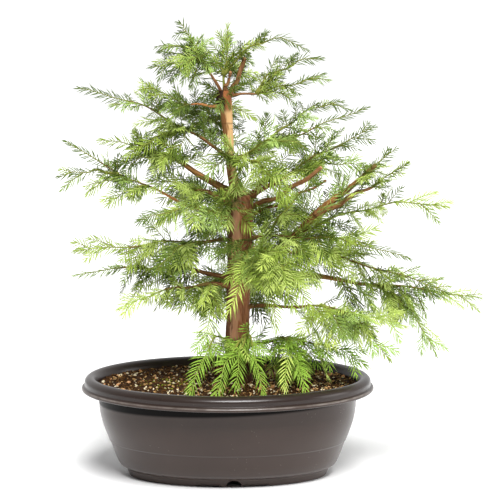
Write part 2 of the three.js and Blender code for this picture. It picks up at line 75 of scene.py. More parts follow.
CROOK = 1.8  # how far a limb wanders off its smooth curve
BARE_TIP = 0.75  # how thick a limb without needles is at its tip, as a share of its root
LEAFY_TIP = 0.45  # and one with needles
THINNEST = 0.75  # the least radius of a limb
STEEP = 0.35  # how much of a run must be level for its side to be plain
STEEP_LEAN = 0.4  # how strongly a steeper run's side turns to the right

Pair = tuple[float, float]
Triple = tuple[float, float, float]
Colour = tuple[float, float, float, float]
Numbers = np.ndarray
Form = bmesh.types.BMesh
Ring = list[bmesh.types.BMVert]
Mesh = bpy.types.Mesh
Material = bpy.types.Material
Socket = bpy.types.NodeSocket
Sockets = bpy.types.bpy_prop_collection


# ---------------------------------------------------------------- small tools


def srgb(red: int, green: int, blue: int) -> Colour:
    """A linear colour from screen values of 0 to 255.

    Args:
        red: Screen red.
        green: Screen green.
        blue: Screen blue.

    Returns:
        The linear colour with full alpha.
    """
    linear = [
        c / 12.92 if c <= 0.04045 else ((c + 0.055) / 1.055) ** 2.4
        for c in (red / 255, green / 255, blue / 255)
    ]
    return (*linear, 1.0)


def chance(seed: int, i: int, j: int) -> float:
    """A number from 0 to 1 that is always the same for a limb's seed, its spray i and its choice j."""
    wave = math.sin(seed * 12.9898 + i * 78.233 + j * 37.719) * 43758.5453
    return wave - math.floor(wave)


def swing(seed: int, i: int, j: int) -> float:
    """The same draw round zero, from -0.5 to 0.5."""
    return chance(seed, i, j) - 0.5


def unit(vectors: Numbers) -> Numbers:
    """Vectors brought to length 1, along the last axis."""
    return vectors / np.maximum(np.linalg.norm(vectors, axis=-1, keepdims=True), 1e-9)


def smooth_step(low: float, high: float, value: Numbers | float) -> Numbers | float:
    """A soft step from 0 at low to 1 at high, which may lie below low."""
    share = np.clip((value - low) / (high - low), 0.0, 1.0)
    return share * share * (3 - 2 * share)


def between(low: float, high: float, share: float) -> float:
    """The value at a share of the way from low to high."""
    return low + (high - low) * share


class Slot(Enum):
    """The record's material slots."""

    PLASTIC = "pot_plastic"
    SOIL = "potting_mix"
    BARK = "bark"
    NEEDLES = "needles"


def hang(name: str, data: bpy.types.ID) -> bpy.types.Object:
    """Puts a new object into the scene, at the origin.

    Args:
        name: Its name.
        data: Its mesh, light or camera.

    Returns:
        The object.
    """
    made = bpy.data.objects.new(name, data)
    bpy.context.scene.collection.objects.link(made)
    return made


def install(mesh: Mesh, name: str, material: Material, stands_for: Iterable[str] = ()) -> None:
    """Hangs a finished mesh on the plant as one named piece.

    Args:
        mesh: The mesh, in metres.
        name: The piece's name.
        material: Its finish.
        stands_for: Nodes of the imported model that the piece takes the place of.
    """
    mesh.name = name
    mesh.materials.append(material)
    piece = hang(name, mesh)
    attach(piece, BODY)
    if stands_for:
        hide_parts(*stands_for)
    mesh.calc_loop_triangles()
    LOG.info("%s: %d triangles", name, len(mesh.loop_triangles))


def write_mesh(form: Form, smooth: bool = True) -> Mesh:
    """A mesh in metres from a form in millimetres, facing outwards.

    Args:
        form: The form, which is freed.
        smooth: Whether its faces are shaded smooth.

    Returns:
        The mesh.
    """
    bmesh.ops.recalc_face_normals(form, faces=form.faces)
    bmesh.ops.scale(form, vec=(MM, MM, MM), verts=form.verts)
    for face in form.faces:
        face.smooth = smooth
    mesh = bpy.data.meshes.new("form")
    form.to_mesh(mesh)
    form.free()
    return mesh


def carry_ring(form: Form, ring: Ring, places: Numbers) -> Ring:
    """Extrudes a closed ring of corners to new places.

    Args:
        form: The form that holds the ring.
        ring: The ring's corners in order.
        places: The new corners' places, in the same order.

    Returns:
        The new ring in the same order.
    """
    edges = [form.edges.get((ring[i - 1], ring[i])) for i in range(len(ring))]
    made = bmesh.ops.extrude_edge_only(form, edges=edges)["geom"]
    fresh = {corner for corner in made if isinstance(corner, bmesh.types.BMVert)}
    carried = []
    for corner, place in zip(ring, places):
        follower = next(e.other_vert(corner) for e in corner.link_edges if e.other_vert(corner) in fresh)
        follower.co = Vector(place)
        carried.append(follower)
    return carried


def start_ring(form: Form, places: Numbers) -> Ring:
    """A closed ring of corners, filled with one face.

    Args:
        form: The form to add it to.
        places: The corners' places.

    Returns:
        The ring's corners in order.
    """
    ring = bmesh.ops.create_circle(form, cap_ends=True, segments=len(places), radius=1)["verts"]
    for corner, place in zip(ring, places):
        corner.co = Vector(place)
    return ring


def loft(form: Form, rings: Iterable[Numbers], grains: Iterable[Numbers] = ()) -> Ring:
    """A closed tube through rings of places, with a face at each end.

    Args:
        form: The form to add it to.
        rings: Each ring's places, in the same order round.
        grains: Each ring's grain coordinates in millimetres, for wood.

    Returns:
        Its corners, ring by ring.
    """
    made: list[Ring] = []
    for places in rings:
        made.append(carry_ring(form, made[-1], places) if made else start_ring(form, places))
    bmesh.ops.contextual_create(form, geom=made[-1])
    layer = form.verts.layers.float_vector.get(GRAIN)
    for ring, grain in zip(made, grains):
        for corner, place in zip(ring, grain):
            corner[layer] = Vector(place) * MM
    return [corner for ring in made for corner in ring]


def wood_form() -> Form:
    """A new form whose corners carry the grain.

    Returns:
        The form.
    """
    form = bmesh.new()
    form.verts.layers.float_vector.new(GRAIN)
    return form


def angles_round(sides: int) -> Numbers:
    """Even angles all the way round."""
    return np.linspace(0, 2 * np.pi, sides, endpoint=False)


def oval(sides: int, half_width: float, half_depth: float, height: float) -> Numbers:
    """The corners of a level ellipse round the middle of the pot."""
    angles = angles_round(sides)
    return np.stack([half_width * np.cos(angles), half_depth * np.sin(angles), np.full(sides, height)], 1)


def tangents(path: Numbers) -> Numbers:
    """The way that a path runs at each of its points."""
    return unit(np.gradient(path, axis=0))


def read_along(values: Numbers, shares: Numbers) -> Numbers:
    """The rows of a table read at shares of its length, between rows too."""
    grid = np.linspace(0, 1, len(values))
    return np.stack([np.interp(shares, grid, column) for column in values.T], 1)


def face_frame(along: Numbers, twist: float = 0.0) -> tuple[Numbers, Numbers]:
    """The sideways and the upward direction of a spray that lies flat, turned by its twist.

    Args:
        along: The way that the spray runs, at one or more points.
        twist: How far its face turns about it, in radians.

    Returns:
        The side and the face direction at each point.
    """
    side = np.cross(along, UP)
    steep = np.linalg.norm(side, axis=-1, keepdims=True) < STEEP
    lean = STEEP_LEAN * RIGHT - STEEP_LEAN * along[..., :1] * along
    side = unit(np.where(steep, side + lean, side))
    side = side * math.cos(twist) + np.cross(along, side) * math.sin(twist)
    return side, np.cross(side, along)


# ---------------------------------------------------------------- finishes


class Bench:
    """Places and joins the nodes of one tree."""

    # what a shader group's sockets carry, where it isn't one number
    carried: ClassVar[dict[str, str]] = {
        "Vector": "Vector", "Normal": "Vector", "Dark": "Color", "Light": "Color", "Color": "Color",
    }

    def __init__(self, tree: bpy.types.NodeTree) -> None:
        """Starts on an empty tree."""
        self.tree = tree
        self.tree.nodes.clear()

    def add(self, kind: str, sockets: dict[str | int, object] | None = None,
            **settings: object) -> bpy.types.Node:
        """Adds a node.

        Args:
            kind: The node's type.
            sockets: For each input, a value or the output that feeds it.
            settings: The node's own properties.

        Returns:
            The node.
        """
        node = self.tree.nodes.new(kind)
        for key, value in settings.items():
            setattr(node, key, value)
        for key, value in (sockets or {}).items():
            if isinstance(value, Socket):
                self.tree.links.new(value, node.inputs[key])
            else:
                node.inputs[key].default_value = value
        return node

    def reckon(self, operation: str, *values: object, clamp: bool = False) -> Socket:
        """One step of arithmetic on numbers and outputs."""
        sockets = dict(enumerate(values))
        return self.add("ShaderNodeMath", sockets, operation=operation, use_clamp=clamp).outputs[0]

    def clouds(self, vector: Socket, scale: object, detail: float = 2.0) -> Socket:
        """Soft noise from 0 to 1 that follows some coordinates."""
        sockets = {"Vector": vector, "Scale": scale, "Detail": detail}
        return self.add("ShaderNodeTexNoise", sockets).outputs["Fac"]

    def split(self, vector: Socket) -> Sockets:
        """The outputs X, Y and Z of some coordinates."""
        return self.add("ShaderNodeSeparateXYZ", {0: vector}).outputs

    def blend(self, share: object, low: object, high: object) -> Socket:
        """The colour at a share of the way from low to high."""
        return self.add("ShaderNodeMix", {0: share, 6: low, 7: high}, data_type="RGBA").outputs[2]

    def ramp(self, value: Socket, low: float, high: float, bottom: float = 0.0, top: float = 1.0) -> Socket:
        """A value stretched smoothly from low and high onto bottom and top, and held inside them."""
        sockets = {"Value": value, "From Min": low, "From Max": high, "To Min": bottom, "To Max": top}
        return self.add("ShaderNodeMapRange", sockets, interpolation_type="SMOOTHSTEP").outputs[0]

    def socket(self, name: str, way: str) -> None:
        """Gives a shader group one named input or output."""
        kind = "NodeSocket" + self.carried.get(name, "Float")
        self.tree.interface.new_socket(name=name, in_out=way, socket_type=kind)

    def take(self, *names: str) -> Sockets:
        """Names a shader group's inputs.

        Args:
            names: Their names.

        Returns:
            The outputs that carry them inside the group.
        """
        for name in names:
            self.socket(name, "INPUT")
        return self.add("NodeGroupInput").outputs

    def give(self, **results: Socket) -> None:
        """Names a shader group's outputs and feeds them.

        Args:
            results: What feeds each, by its name.
        """
        for name in results:
            self.socket(name, "OUTPUT")
        self.add("NodeGroupOutput", results)


class Effect(Enum):
    """The shader groups that the finishes place."""

    MOTTLE = "Mottle"
    PORES = "Pores"
    SPECKS = "Specks"


@cache
def effect(kind: Effect) -> bpy.types.NodeTree:
    """The shader group of an effect, built once.

    Args:
        kind: Which effect.

    Returns:
        The group.
    """
    tree = bpy.data.node_groups.new(kind.value, "ShaderNodeTree")
    makers = {Effect.MOTTLE: build_mottle, Effect.PORES: build_pores, Effect.SPECKS: build_specks}
    makers[kind](Bench(tree))
    return tree


def build_mottle(bench: Bench) -> None:
    """Clouds that carry a surface from one colour to another, with finer clouds in them.

    Args:
        bench: The group's bench.
    """
    given = bench.take("Vector", "Scale", "Dark", "Light", "Contrast")
    centred = bench.reckon("SUBTRACT", bench.clouds(given["Vector"], given["Scale"], 5.0), 0.5)
    mask = bench.reckon("ADD", bench.reckon("MULTIPLY", centred, given["Contrast"]), 0.5, clamp=True)
    bench.give(Color=bench.blend(mask, given["Dark"], given["Light"]), Mask=mask)


def build_pores(bench: Bench) -> None:
    """A fine uneven surface as a normal.

    Args:
        bench: The group's bench.
    """
    given = bench.take("Vector", "Scale", "Depth", "Strength")
    grit = bench.clouds(given["Vector"], given["Scale"], 4.0)
    sockets = {"Height": grit, "Distance": given["Depth"], "Strength": given["Strength"]}
    bench.give(Normal=bench.add("ShaderNodeBump", sockets).outputs[0])


def build_specks(bench: Bench) -> None:
    """Small spots scattered in drifts, as a mask.

    Args:
        bench: The group's bench.
    """
    given = bench.take("Vector", "Scale", "Size", "Patches")
    cells = bench.add("ShaderNodeTexVoronoi", {"Vector": given["Vector"], "Scale": given["Scale"]})
    spot = bench.reckon("LESS_THAN", cells.outputs["Distance"], given["Size"])
    near = bench.reckon("GREATER_THAN", bench.clouds(given["Vector"], 30.0), given["Patches"])
    bench.give(Mask=bench.reckon("MULTIPLY", spot, near))


class Finish:
    """One material on a bench, with the groups within reach."""

    def __init__(self, name: str, attribute: str | None = None) -> None:
        """Starts the material.

        Args:
            name: The material's name.
            attribute: What its patterns follow, or None for the object's own coordinates.
        """
        self.material = bpy.data.materials.new(name)
        self.material.use_nodes = True
        self.bench = Bench(self.material.node_tree)
        if attribute:
            self.vector = self.bench.add("ShaderNodeAttribute", attribute_name=attribute).outputs["Vector"]
        else:
            self.vector = self.bench.add("ShaderNodeTexCoord").outputs["Object"]

    def stretched(self, *scale: float) -> Socket:
        """The coordinates squeezed or stretched along each axis."""
        return self.bench.add("ShaderNodeMapping", {"Vector": self.vector, "Scale": scale}).outputs[0]

    def band(self, value: Socket, low: float, high: float, edge: float) -> Socket:
        """A mask that is full between two lengths and fades over an edge outside them.

        Args:
            value: The length that is read, in metres.
            low: Where the mask is full from, in millimetres.
            high: Where it is full to.
            edge: How wide it fades.

        Returns:
            The mask's output.
        """
        above = self.bench.ramp(value, (low - edge) * MM, low * MM)
        below = self.bench.ramp(value, high * MM, (high + edge) * MM, 1.0, 0.0)
        return self.bench.reckon("MULTIPLY", above, below)

    def group(self, kind: Effect, **sockets: object) -> Sockets:
        """Places an effect's group, fed with values or outputs, and gives its outputs."""
        sockets = {"Vector": self.vector, **sockets}
        return self.bench.add("ShaderNodeGroup", sockets, node_tree=effect(kind)).outputs

    def pores(self, scale: float, depth: float, strength: float, **sockets: object) -> Socket:
        """The normal of a fine uneven surface, depth metres deep."""
        return self.group(Effect.PORES, Scale=scale, Depth=depth, Strength=strength, **sockets)["Normal"]

    def done(self, colour: object, roughness: object, gloss: float | None = None,
             **sockets: object) -> Material:
        """Feeds the surface shader and closes the material.

        Args:
            colour: Its colour, or the output that gives it.
            roughness: Its roughness, or the output that gives it.
            gloss: Its specular level, or None for the shader's own.
            sockets: For each more of the shader's inputs, with _ for a space, a value or an output.

        Returns:
            The material.
        """
        inputs = {"Base Color": colour, "Roughness": roughness}
        if gloss is not None:
            inputs["Specular IOR Level"] = gloss
        inputs |= {name.replace("_", " "): value for name, value in sockets.items()}
        surface = self.bench.add("ShaderNodeBsdfPrincipled", inputs)
        self.bench.add("ShaderNodeOutputMaterial", {"Surface": surface.outputs[0]})
        return self.material


@dataclass(frozen=True)
class Plastic:
    """Satin moulded plastic with dust and faint swirls, a painted shadow under the rim, a rim roll painted
    darker as shade, and a scuffed bead under the rim with a painted highlight along it.
    """

    dark: Colour = srgb(51, 39, 34)
    light: Colour = srgb(62, 49, 43)
    swirl_scale: float = 14.0
    swirl_contrast: float = 1.6
    # painted shadow: a near-black band on the wall under the lip, where the lip's shade falls
    lip_shadow_colour: Colour = srgb(8, 6, 5)
    lip_shadow_heights: Pair = (82.6, 89.6)
    lip_shadow_edge: float = 3.6
    lip_shadow_top_edge: float = 0.6
    lip_shadow_slant: float = -0.035  # how fast the painted shadow under the lip grows deeper to the left, away from the light
    # painted shade: the rim's roll is painted darker towards this colour, above the height below
    roll: Colour = srgb(34, 26, 23)
    roll_shade_from: float = 94.0
    roll_shade_strength: float = 0.7
    dust: Colour = srgb(128, 116, 108)
    dust_scale: float = 300.0
    dust_size: float = 0.075
    dust_patches: float = 0.56
    # scuffs with a painted highlight: a pale line along the crest of the bead under the rim
    scuff_and_highlight: Colour = srgb(132, 124, 118)
    scuff_and_highlight_heights: Pair = (92.5, 93.4)
    scuff_and_highlight_edge: float = 0.5
    scuff_and_highlight_scale: float = 90.0
    scuff_and_highlight_clouds: Pair = (0.3, 0.7)
    scuff_and_highlight_strength: Pair = (0.2, 0.6)
    roughness: Pair = (0.28, 0.4)
    gloss: float = 0.08
    coat: float = 0.6
    coat_roughness: float = 0.26
    pores: Triple = (900.0, 0.0002, 0.35)

    def build(self) -> Material:
        """Makes the material.

        Returns:
            The material.
        """
        finish = Finish("pot_plastic")
        bench = finish.bench
        place = bench.split(finish.vector)
        swirl = finish.group(Effect.MOTTLE, Scale=self.swirl_scale, Dark=self.dark, Light=self.light,
                             Contrast=self.swirl_contrast)
        specks = finish.group(Effect.SPECKS, Scale=self.dust_scale, Size=self.dust_size,
                              Patches=self.dust_patches)
        colour = bench.blend(specks["Mask"], swirl["Color"], self.dust)
        # painted shade on the rim's roll
        start, end = (self.roll_shade_from - 1) * MM, (self.roll_shade_from + 1) * MM
        colour = bench.blend(bench.ramp(place["Z"], start, end, 0.0, self.roll_shade_strength), colour, self.roll)
        # scuffs and a painted highlight along the bead's crest
        scuff_and_highlight_noise = bench.clouds(finish.vector, self.scuff_and_highlight_scale, 5.0)
        rubbed = bench.ramp(scuff_and_highlight_noise, *self.scuff_and_highlight_clouds, *self.scuff_and_highlight_strength)
        bead = finish.band(place["Z"], *self.scuff_and_highlight_heights, self.scuff_and_highlight_edge)
        colour = bench.blend(bench.reckon("MULTIPLY", bead, rubbed), colour, self.scuff_and_highlight)
        # painted shadow under the lip, deeper to the left, with no coat inside it so that it reflects
        # nothing
        depth = bench.reckon("MULTIPLY_ADD", place["X"], self.lip_shadow_slant, place["Z"])
        low, high = self.lip_shadow_heights
        above = bench.ramp(depth, (low - self.lip_shadow_edge) * MM, low * MM)
        below = bench.ramp(place["Z"], high * MM, (high + self.lip_shadow_top_edge) * MM, 1.0, 0.0)
        lip_shadow_mask = bench.reckon("MULTIPLY", above, below)
        return finish.done(
            bench.blend(lip_shadow_mask, colour, self.lip_shadow_colour), bench.ramp(swirl["Mask"], 0.0, 1.0, *self.roughness),
            self.gloss, Normal=finish.pores(*self.pores),
            Coat_Weight=bench.ramp(lip_shadow_mask, 0.0, 1.0, self.coat, 0.0), Coat_Roughness=self.coat_roughness)


@dataclass(frozen=True)
class Earth:
    """Crumbly soil or one kind of its grains."""

    name: str
    dark: Colour
    light: Colour
    scale: float = 260.0
    contrast: float = 3.0
    roughness: float = 0.92
    gloss: float = 0.1
    pores: Triple = (1600.0, 0.0006, 0.7)

    def build(self) -> Material:
        """Makes the material.

        Returns:
            The material.
        """
        finish = Finish(self.name)
        clods = finish.group(Effect.MOTTLE, Scale=self.scale, Dark=self.dark, Light=self.light,
                             Contrast=self.contrast)
        return finish.done(clods["Color"], self.roughness, self.gloss, Normal=finish.pores(*self.pores))


@dataclass(frozen=True)
class Bark:
    """Fibrous bark: long strands, darker fissures between them and pale rubbed ridges."""

    name: str
    deep: Colour
    body: Colour
    ridge: Colour
    strand: float = 330.0
    contrast: float = 2.4
    roughness: float = 0.82
    gloss: float = 0.2
    fibre: float = 0.14  # how slowly the pattern changes along a strand
    ridge_contrast: float = 3.2
    finer: float = 2.3  # how many ridges there are to a strand
    finest: float = 3.0
    relief: Pair = (0.0008, 0.75)

    def layers(self, finish: Finish) -> tuple[Socket, Socket]:
        """The bark's colour and normal on a bench.

        Args:
            finish: The material that wears them.

        Returns:
            The colour's and the normal's outputs.
        """
        fibres = finish.stretched(1.0, 1.0, self.fibre)
        broad = finish.group(Effect.MOTTLE, Vector=fibres, Scale=self.strand, Dark=self.deep,
                             Light=self.body, Contrast=self.contrast)
        rubbed = finish.group(Effect.MOTTLE, Vector=fibres, Scale=self.strand * self.finer, Dark=self.body,
                              Light=self.ridge, Contrast=self.ridge_contrast)
        colour = finish.bench.blend(0.5, broad["Color"], rubbed["Color"])
        return colour, finish.pores(self.strand * self.finest, *self.relief, Vector=fibres)

    def build(self) -> Material:
        """Makes the material.

        Returns:
            The material.
        """
        finish = Finish(self.name, GRAIN)
        colour, normal = self.layers(finish)
        return finish.done(colour, self.roughness, self.gloss, Normal=normal)


@dataclass(frozen=True)
class Stretch:
    """How one stretch of the trunk is painted: darker towards its left flank as painted shade, and a streak
    painted lighter as light falling on it.
    """

    heights: Pair
    radius: float
    # painted shade: the colour that the left flank is darkened to, and how far in it reaches
    left: Colour
    left_shade_width: float
    # a painted streak of light along the trunk, and how strongly both are painted
    painted_streak: Colour
    painted_streak_span: Pair
    strength: float


@dataclass(frozen=True)
class TrunkFinish:
    """The trunk's old bark below and the leader's younger bark above, with rings, painted shade on the left
    flanks and over the foot, and painted highlight streaks.
    """

    old: Bark = Bark("trunk_bark", srgb(54, 28, 17), srgb(172, 103, 68), srgb(232, 170, 128), 300.0, 3.4)
    young: Bark = Bark("leader_bark", srgb(120, 68, 38), srgb(192, 136, 84), srgb(228, 190, 132), 260.0, 2.9)
    stretches: tuple[Stretch, ...] = (
        # painted shade on each left flank, with a painted streak of light; the second paints shade over the
        # whole foot under the fronds, with a less dark streak
        Stretch((90.0, 300.0), 12.0, srgb(56, 33, 24), 4.0, srgb(206, 156, 122), (-5.6, -0.6), 0.65),
        Stretch((88.0, 136.0), 12.0, srgb(42, 28, 16), 24.0, srgb(72, 48, 28), (-4.0, 0.0), 0.8),
        Stretch((300.0, 380.0), 5.0, srgb(120, 66, 38), 3.0, srgb(240, 198, 144), (1.0, 9.0), 0.6),
        Stretch((384.0, 410.0), 12.0, srgb(32, 19, 9), 11.0, srgb(150, 92, 52), (2.0, 4.0), 0.95),
    )
    stretch_edge: float = 12.0
    painted_streak_edge: float = 2.4
    leader: Pair = (304.0, 376.0)
    leader_edge: float = 14.0
    waver: float = 5.0
    waver_scale: float = 260.0
    waver_stretch: Triple = (1.0, 1.0, 0.25)
    waver_clouds: Pair = (0.2, 0.8)
    ring: Colour = srgb(120, 76, 48)
    ring_scale: float = 330.0
    ring_stretch: Triple = (0.12, 0.12, 1.0)
    ring_clouds: Pair = (0.62, 0.68)
    ring_strength: float = 0.5

    def build(self) -> Material:
        """Makes the material.

        Returns:
            The material.
        """
        finish = Finish("trunk_bark", GRAIN)
        bench = finish.bench
        colour, normal = self.old.layers(finish)
        young, _ = self.young.layers(finish)
        place = bench.split(finish.vector)
        above = finish.band(place["Z"], *self.leader, self.leader_edge)
        colour = bench.blend(above, colour, young)
        cloud = bench.clouds(finish.stretched(*self.waver_stretch), self.waver_scale)
        waver = bench.ramp(cloud, *self.waver_clouds, -self.waver / 2 * MM, self.waver / 2 * MM)
        across = bench.reckon("ADD", place["X"], waver)
        # paints shade on each stretch's left flank and a streak of light
        for stretch in self.stretches:
            here = finish.band(place["Z"], *stretch.heights, self.stretch_edge)
            inner = stretch.left_shade_width - stretch.radius
            left = finish.band(across, -2 * stretch.radius, inner, stretch.left_shade_width)
            painted_streak = finish.band(across, *stretch.painted_streak_span, self.painted_streak_edge)
            for mask, paint in ((left, stretch.left), (painted_streak, stretch.painted_streak)):
                share = bench.ramp(bench.reckon("MULTIPLY", mask, here), 0.0, 1.0, 0.0, stretch.strength)
                colour = bench.blend(share, colour, paint)
        thin = bench.clouds(finish.stretched(*self.ring_stretch), self.ring_scale, 1.0)
        rings = bench.ramp(thin, *self.ring_clouds, 0.0, self.ring_strength)
        colour = bench.blend(bench.reckon("MULTIPLY", rings, above), colour, self.ring)
        return finish.done(colour, self.old.roughness, self.old.gloss, Normal=normal)


@dataclass(frozen=True)
class Leaf:
    """A soft waxy needle of one plain green."""

    name: str
    green: Colour
    roughness: float = 0.5
    gloss: float = 0.2
    pores: Triple = (700.0, 0.0002, 0.3)

    def build(self) -> Material:
        """Makes the material."""
        finish = Finish(self.name)
        return finish.done(self.green, self.roughness, self.gloss, Normal=finish.pores(*self.pores))


# ---------------------------------------------------------------- pot and soil


@dataclass
class Pot:
    """The oval training pot: a foot ring, flared walls and a rolled rim over a thin bead.

    Every wall ring is an ellipse, and the wall widens faster to the front and back than to the sides.
    """

    foot_outer: ClassVar[float] = 102.5
    foot_half_depth: ClassVar[float] = 61.0
    front_flare: ClassVar[float] = 1.28
    sides: int = 160
    arch_x: float = 7.0
    arch_radius: float = 8.0
    arch_sides: int = 32
    cut_depth: float = 11.0
    slots: tuple[Pair, ...] = ((-31.0, -7.0), (16.0, 43.0))
    slot_height: float = 2.0
    # half width, height and the radius that the corner is rounded to, from the underside outwards
    profile: tuple[Triple, ...] = (
        (68.0, 0.0, 0.5), (70.0, 5.0, 1.0), (94.0, 5.0, 1.0), (95.0, 0.0, 0.5), (102.5, 0.0, 2.0),
        (105.5, 8.5, 2.5), (112.0, 12.0, 3.0), (116.0, 20.0, 4.0), (122.0, 36.8, 0.4), (123.0, 37.8, 0.5),
        (129.2, 54.0, 20.0), (132.5, 67.0, 20.0), (134.2, 88.8, 0.8), (147.0, 89.4, 1.0), (150.4, 89.8, 1.2),
        (151.4, 91.8, 1.2), (150.4, 93.8, 1.0), (148.0, 94.4, 0.7), (148.4, 100.4, 4.0), (144.0, 104.4, 4.5),
        (138.2, 103.6, 2.8), (135.0, 98.0, 2.5), (132.0, 84.0, 6.0), (124.5, 48.0, 20.0), (110.0, 16.0, 4.0),
        (104.0, 12.0, 3.0),
    )
    arc_steps: int = 5
    arc_room: float = 0.48  # the most of an edge that an arc takes

    @classmethod
    def half_depth(cls, half_width: float) -> float:
        """How deep a ring of the pot is for its half width."""
        return cls.foot_half_depth + (half_width - cls.foot_outer) * cls.front_flare

    def rounded_profile(self) -> Numbers:
        """Turns each corner of the profile into an arc.

        Returns:
            The half width and the height of each ring.
        """
        corners = np.array([corner[:2] for corner in self.profile])
        points = [corners[0]]
        for before, corner, after, spec in zip(corners, corners[1:], corners[2:], self.profile[1:]):
            back, ahead = before - corner, after - corner
            room = min(np.linalg.norm(back), np.linalg.norm(ahead)) * self.arc_room
            start = corner + unit(back) * min(spec[2], room)
            end = corner + unit(ahead) * min(spec[2], room)
            for share in np.linspace(0, 1, self.arc_steps):
                points.append((1 - share) ** 2 * start + 2 * share * (1 - share) * corner + share ** 2 * end)
        points.append(corners[-1])
        return np.array(points)

    def shell(self) -> Mesh:
        """The pot's wall and floor, before the drain is cut.

        Returns:
            The mesh.
        """
        form = bmesh.new()
        profile = self.rounded_profile()
        loft(form, (oval(self.sides, wide, self.half_depth(wide), height) for wide, height in profile))
        return write_mesh(form)

    def cutters(self) -> Mesh:
        """The arch and the slots that are cut through the foot ring, at the front and at the back.

        Returns:
            One mesh of them all.
        """
        form = bmesh.new()
        tilt = Vector((0, 0, 1)).rotation_difference(Vector((0, 1, 0))).to_matrix()
        for foot in (-self.foot_half_depth, self.foot_half_depth):
            made = bmesh.ops.create_cone(
                form, cap_ends=True, segments=self.arch_sides, radius1=self.arch_radius,
                radius2=self.arch_radius, depth=2 * self.cut_depth)["verts"]
            bmesh.ops.rotate(form, verts=made, matrix=tilt)
            bmesh.ops.translate(form, verts=made, vec=(self.arch_x, foot, 0))
            for start, end in self.slots:
                made = bmesh.ops.create_cube(form, size=1)["verts"]
                size = (end - start, 2 * self.cut_depth, 2 * self.slot_height)
                bmesh.ops.scale(form, verts=made, vec=size)
                bmesh.ops.translate(form, verts=made, vec=((start + end) / 2, foot, 0))
        return write_mesh(form, smooth=False)

    def build(self) -> None:
        """Moulds the pot and cuts its drain."""
        body = hang("pot_blank", self.shell())
        cutter = hang("pot_cutter", self.cutters())
        cut = body.modifiers.new("drain", "BOOLEAN")
        cut.operation = "DIFFERENCE"
        cut.solver = "EXACT"
        cut.object = cutter
        bpy.context.view_layer.update()
        mesh = bpy.data.meshes.new_from_object(body.evaluated_get(bpy.context.evaluated_depsgraph_get()))
        for part in (body, cutter):
            bpy.data.objects.remove(part)
        mesh.materials.clear()
        install(mesh, "pot_shell", Plastic().build(), ["pot"])


@dataclass(frozen=True)
class GrainKind:
    """How one kind of grain looks and how much of it there is."""

    earth: Earth
    count: int
    sizes: Pair
    squash: Triple
    rarer_left: float = 0.0  # the share of it that is missing at the far left
    patches: float = 0.0  # above 0, it grows in patches
    around: Triple | None = None  # the middle and the width of the only place it grows


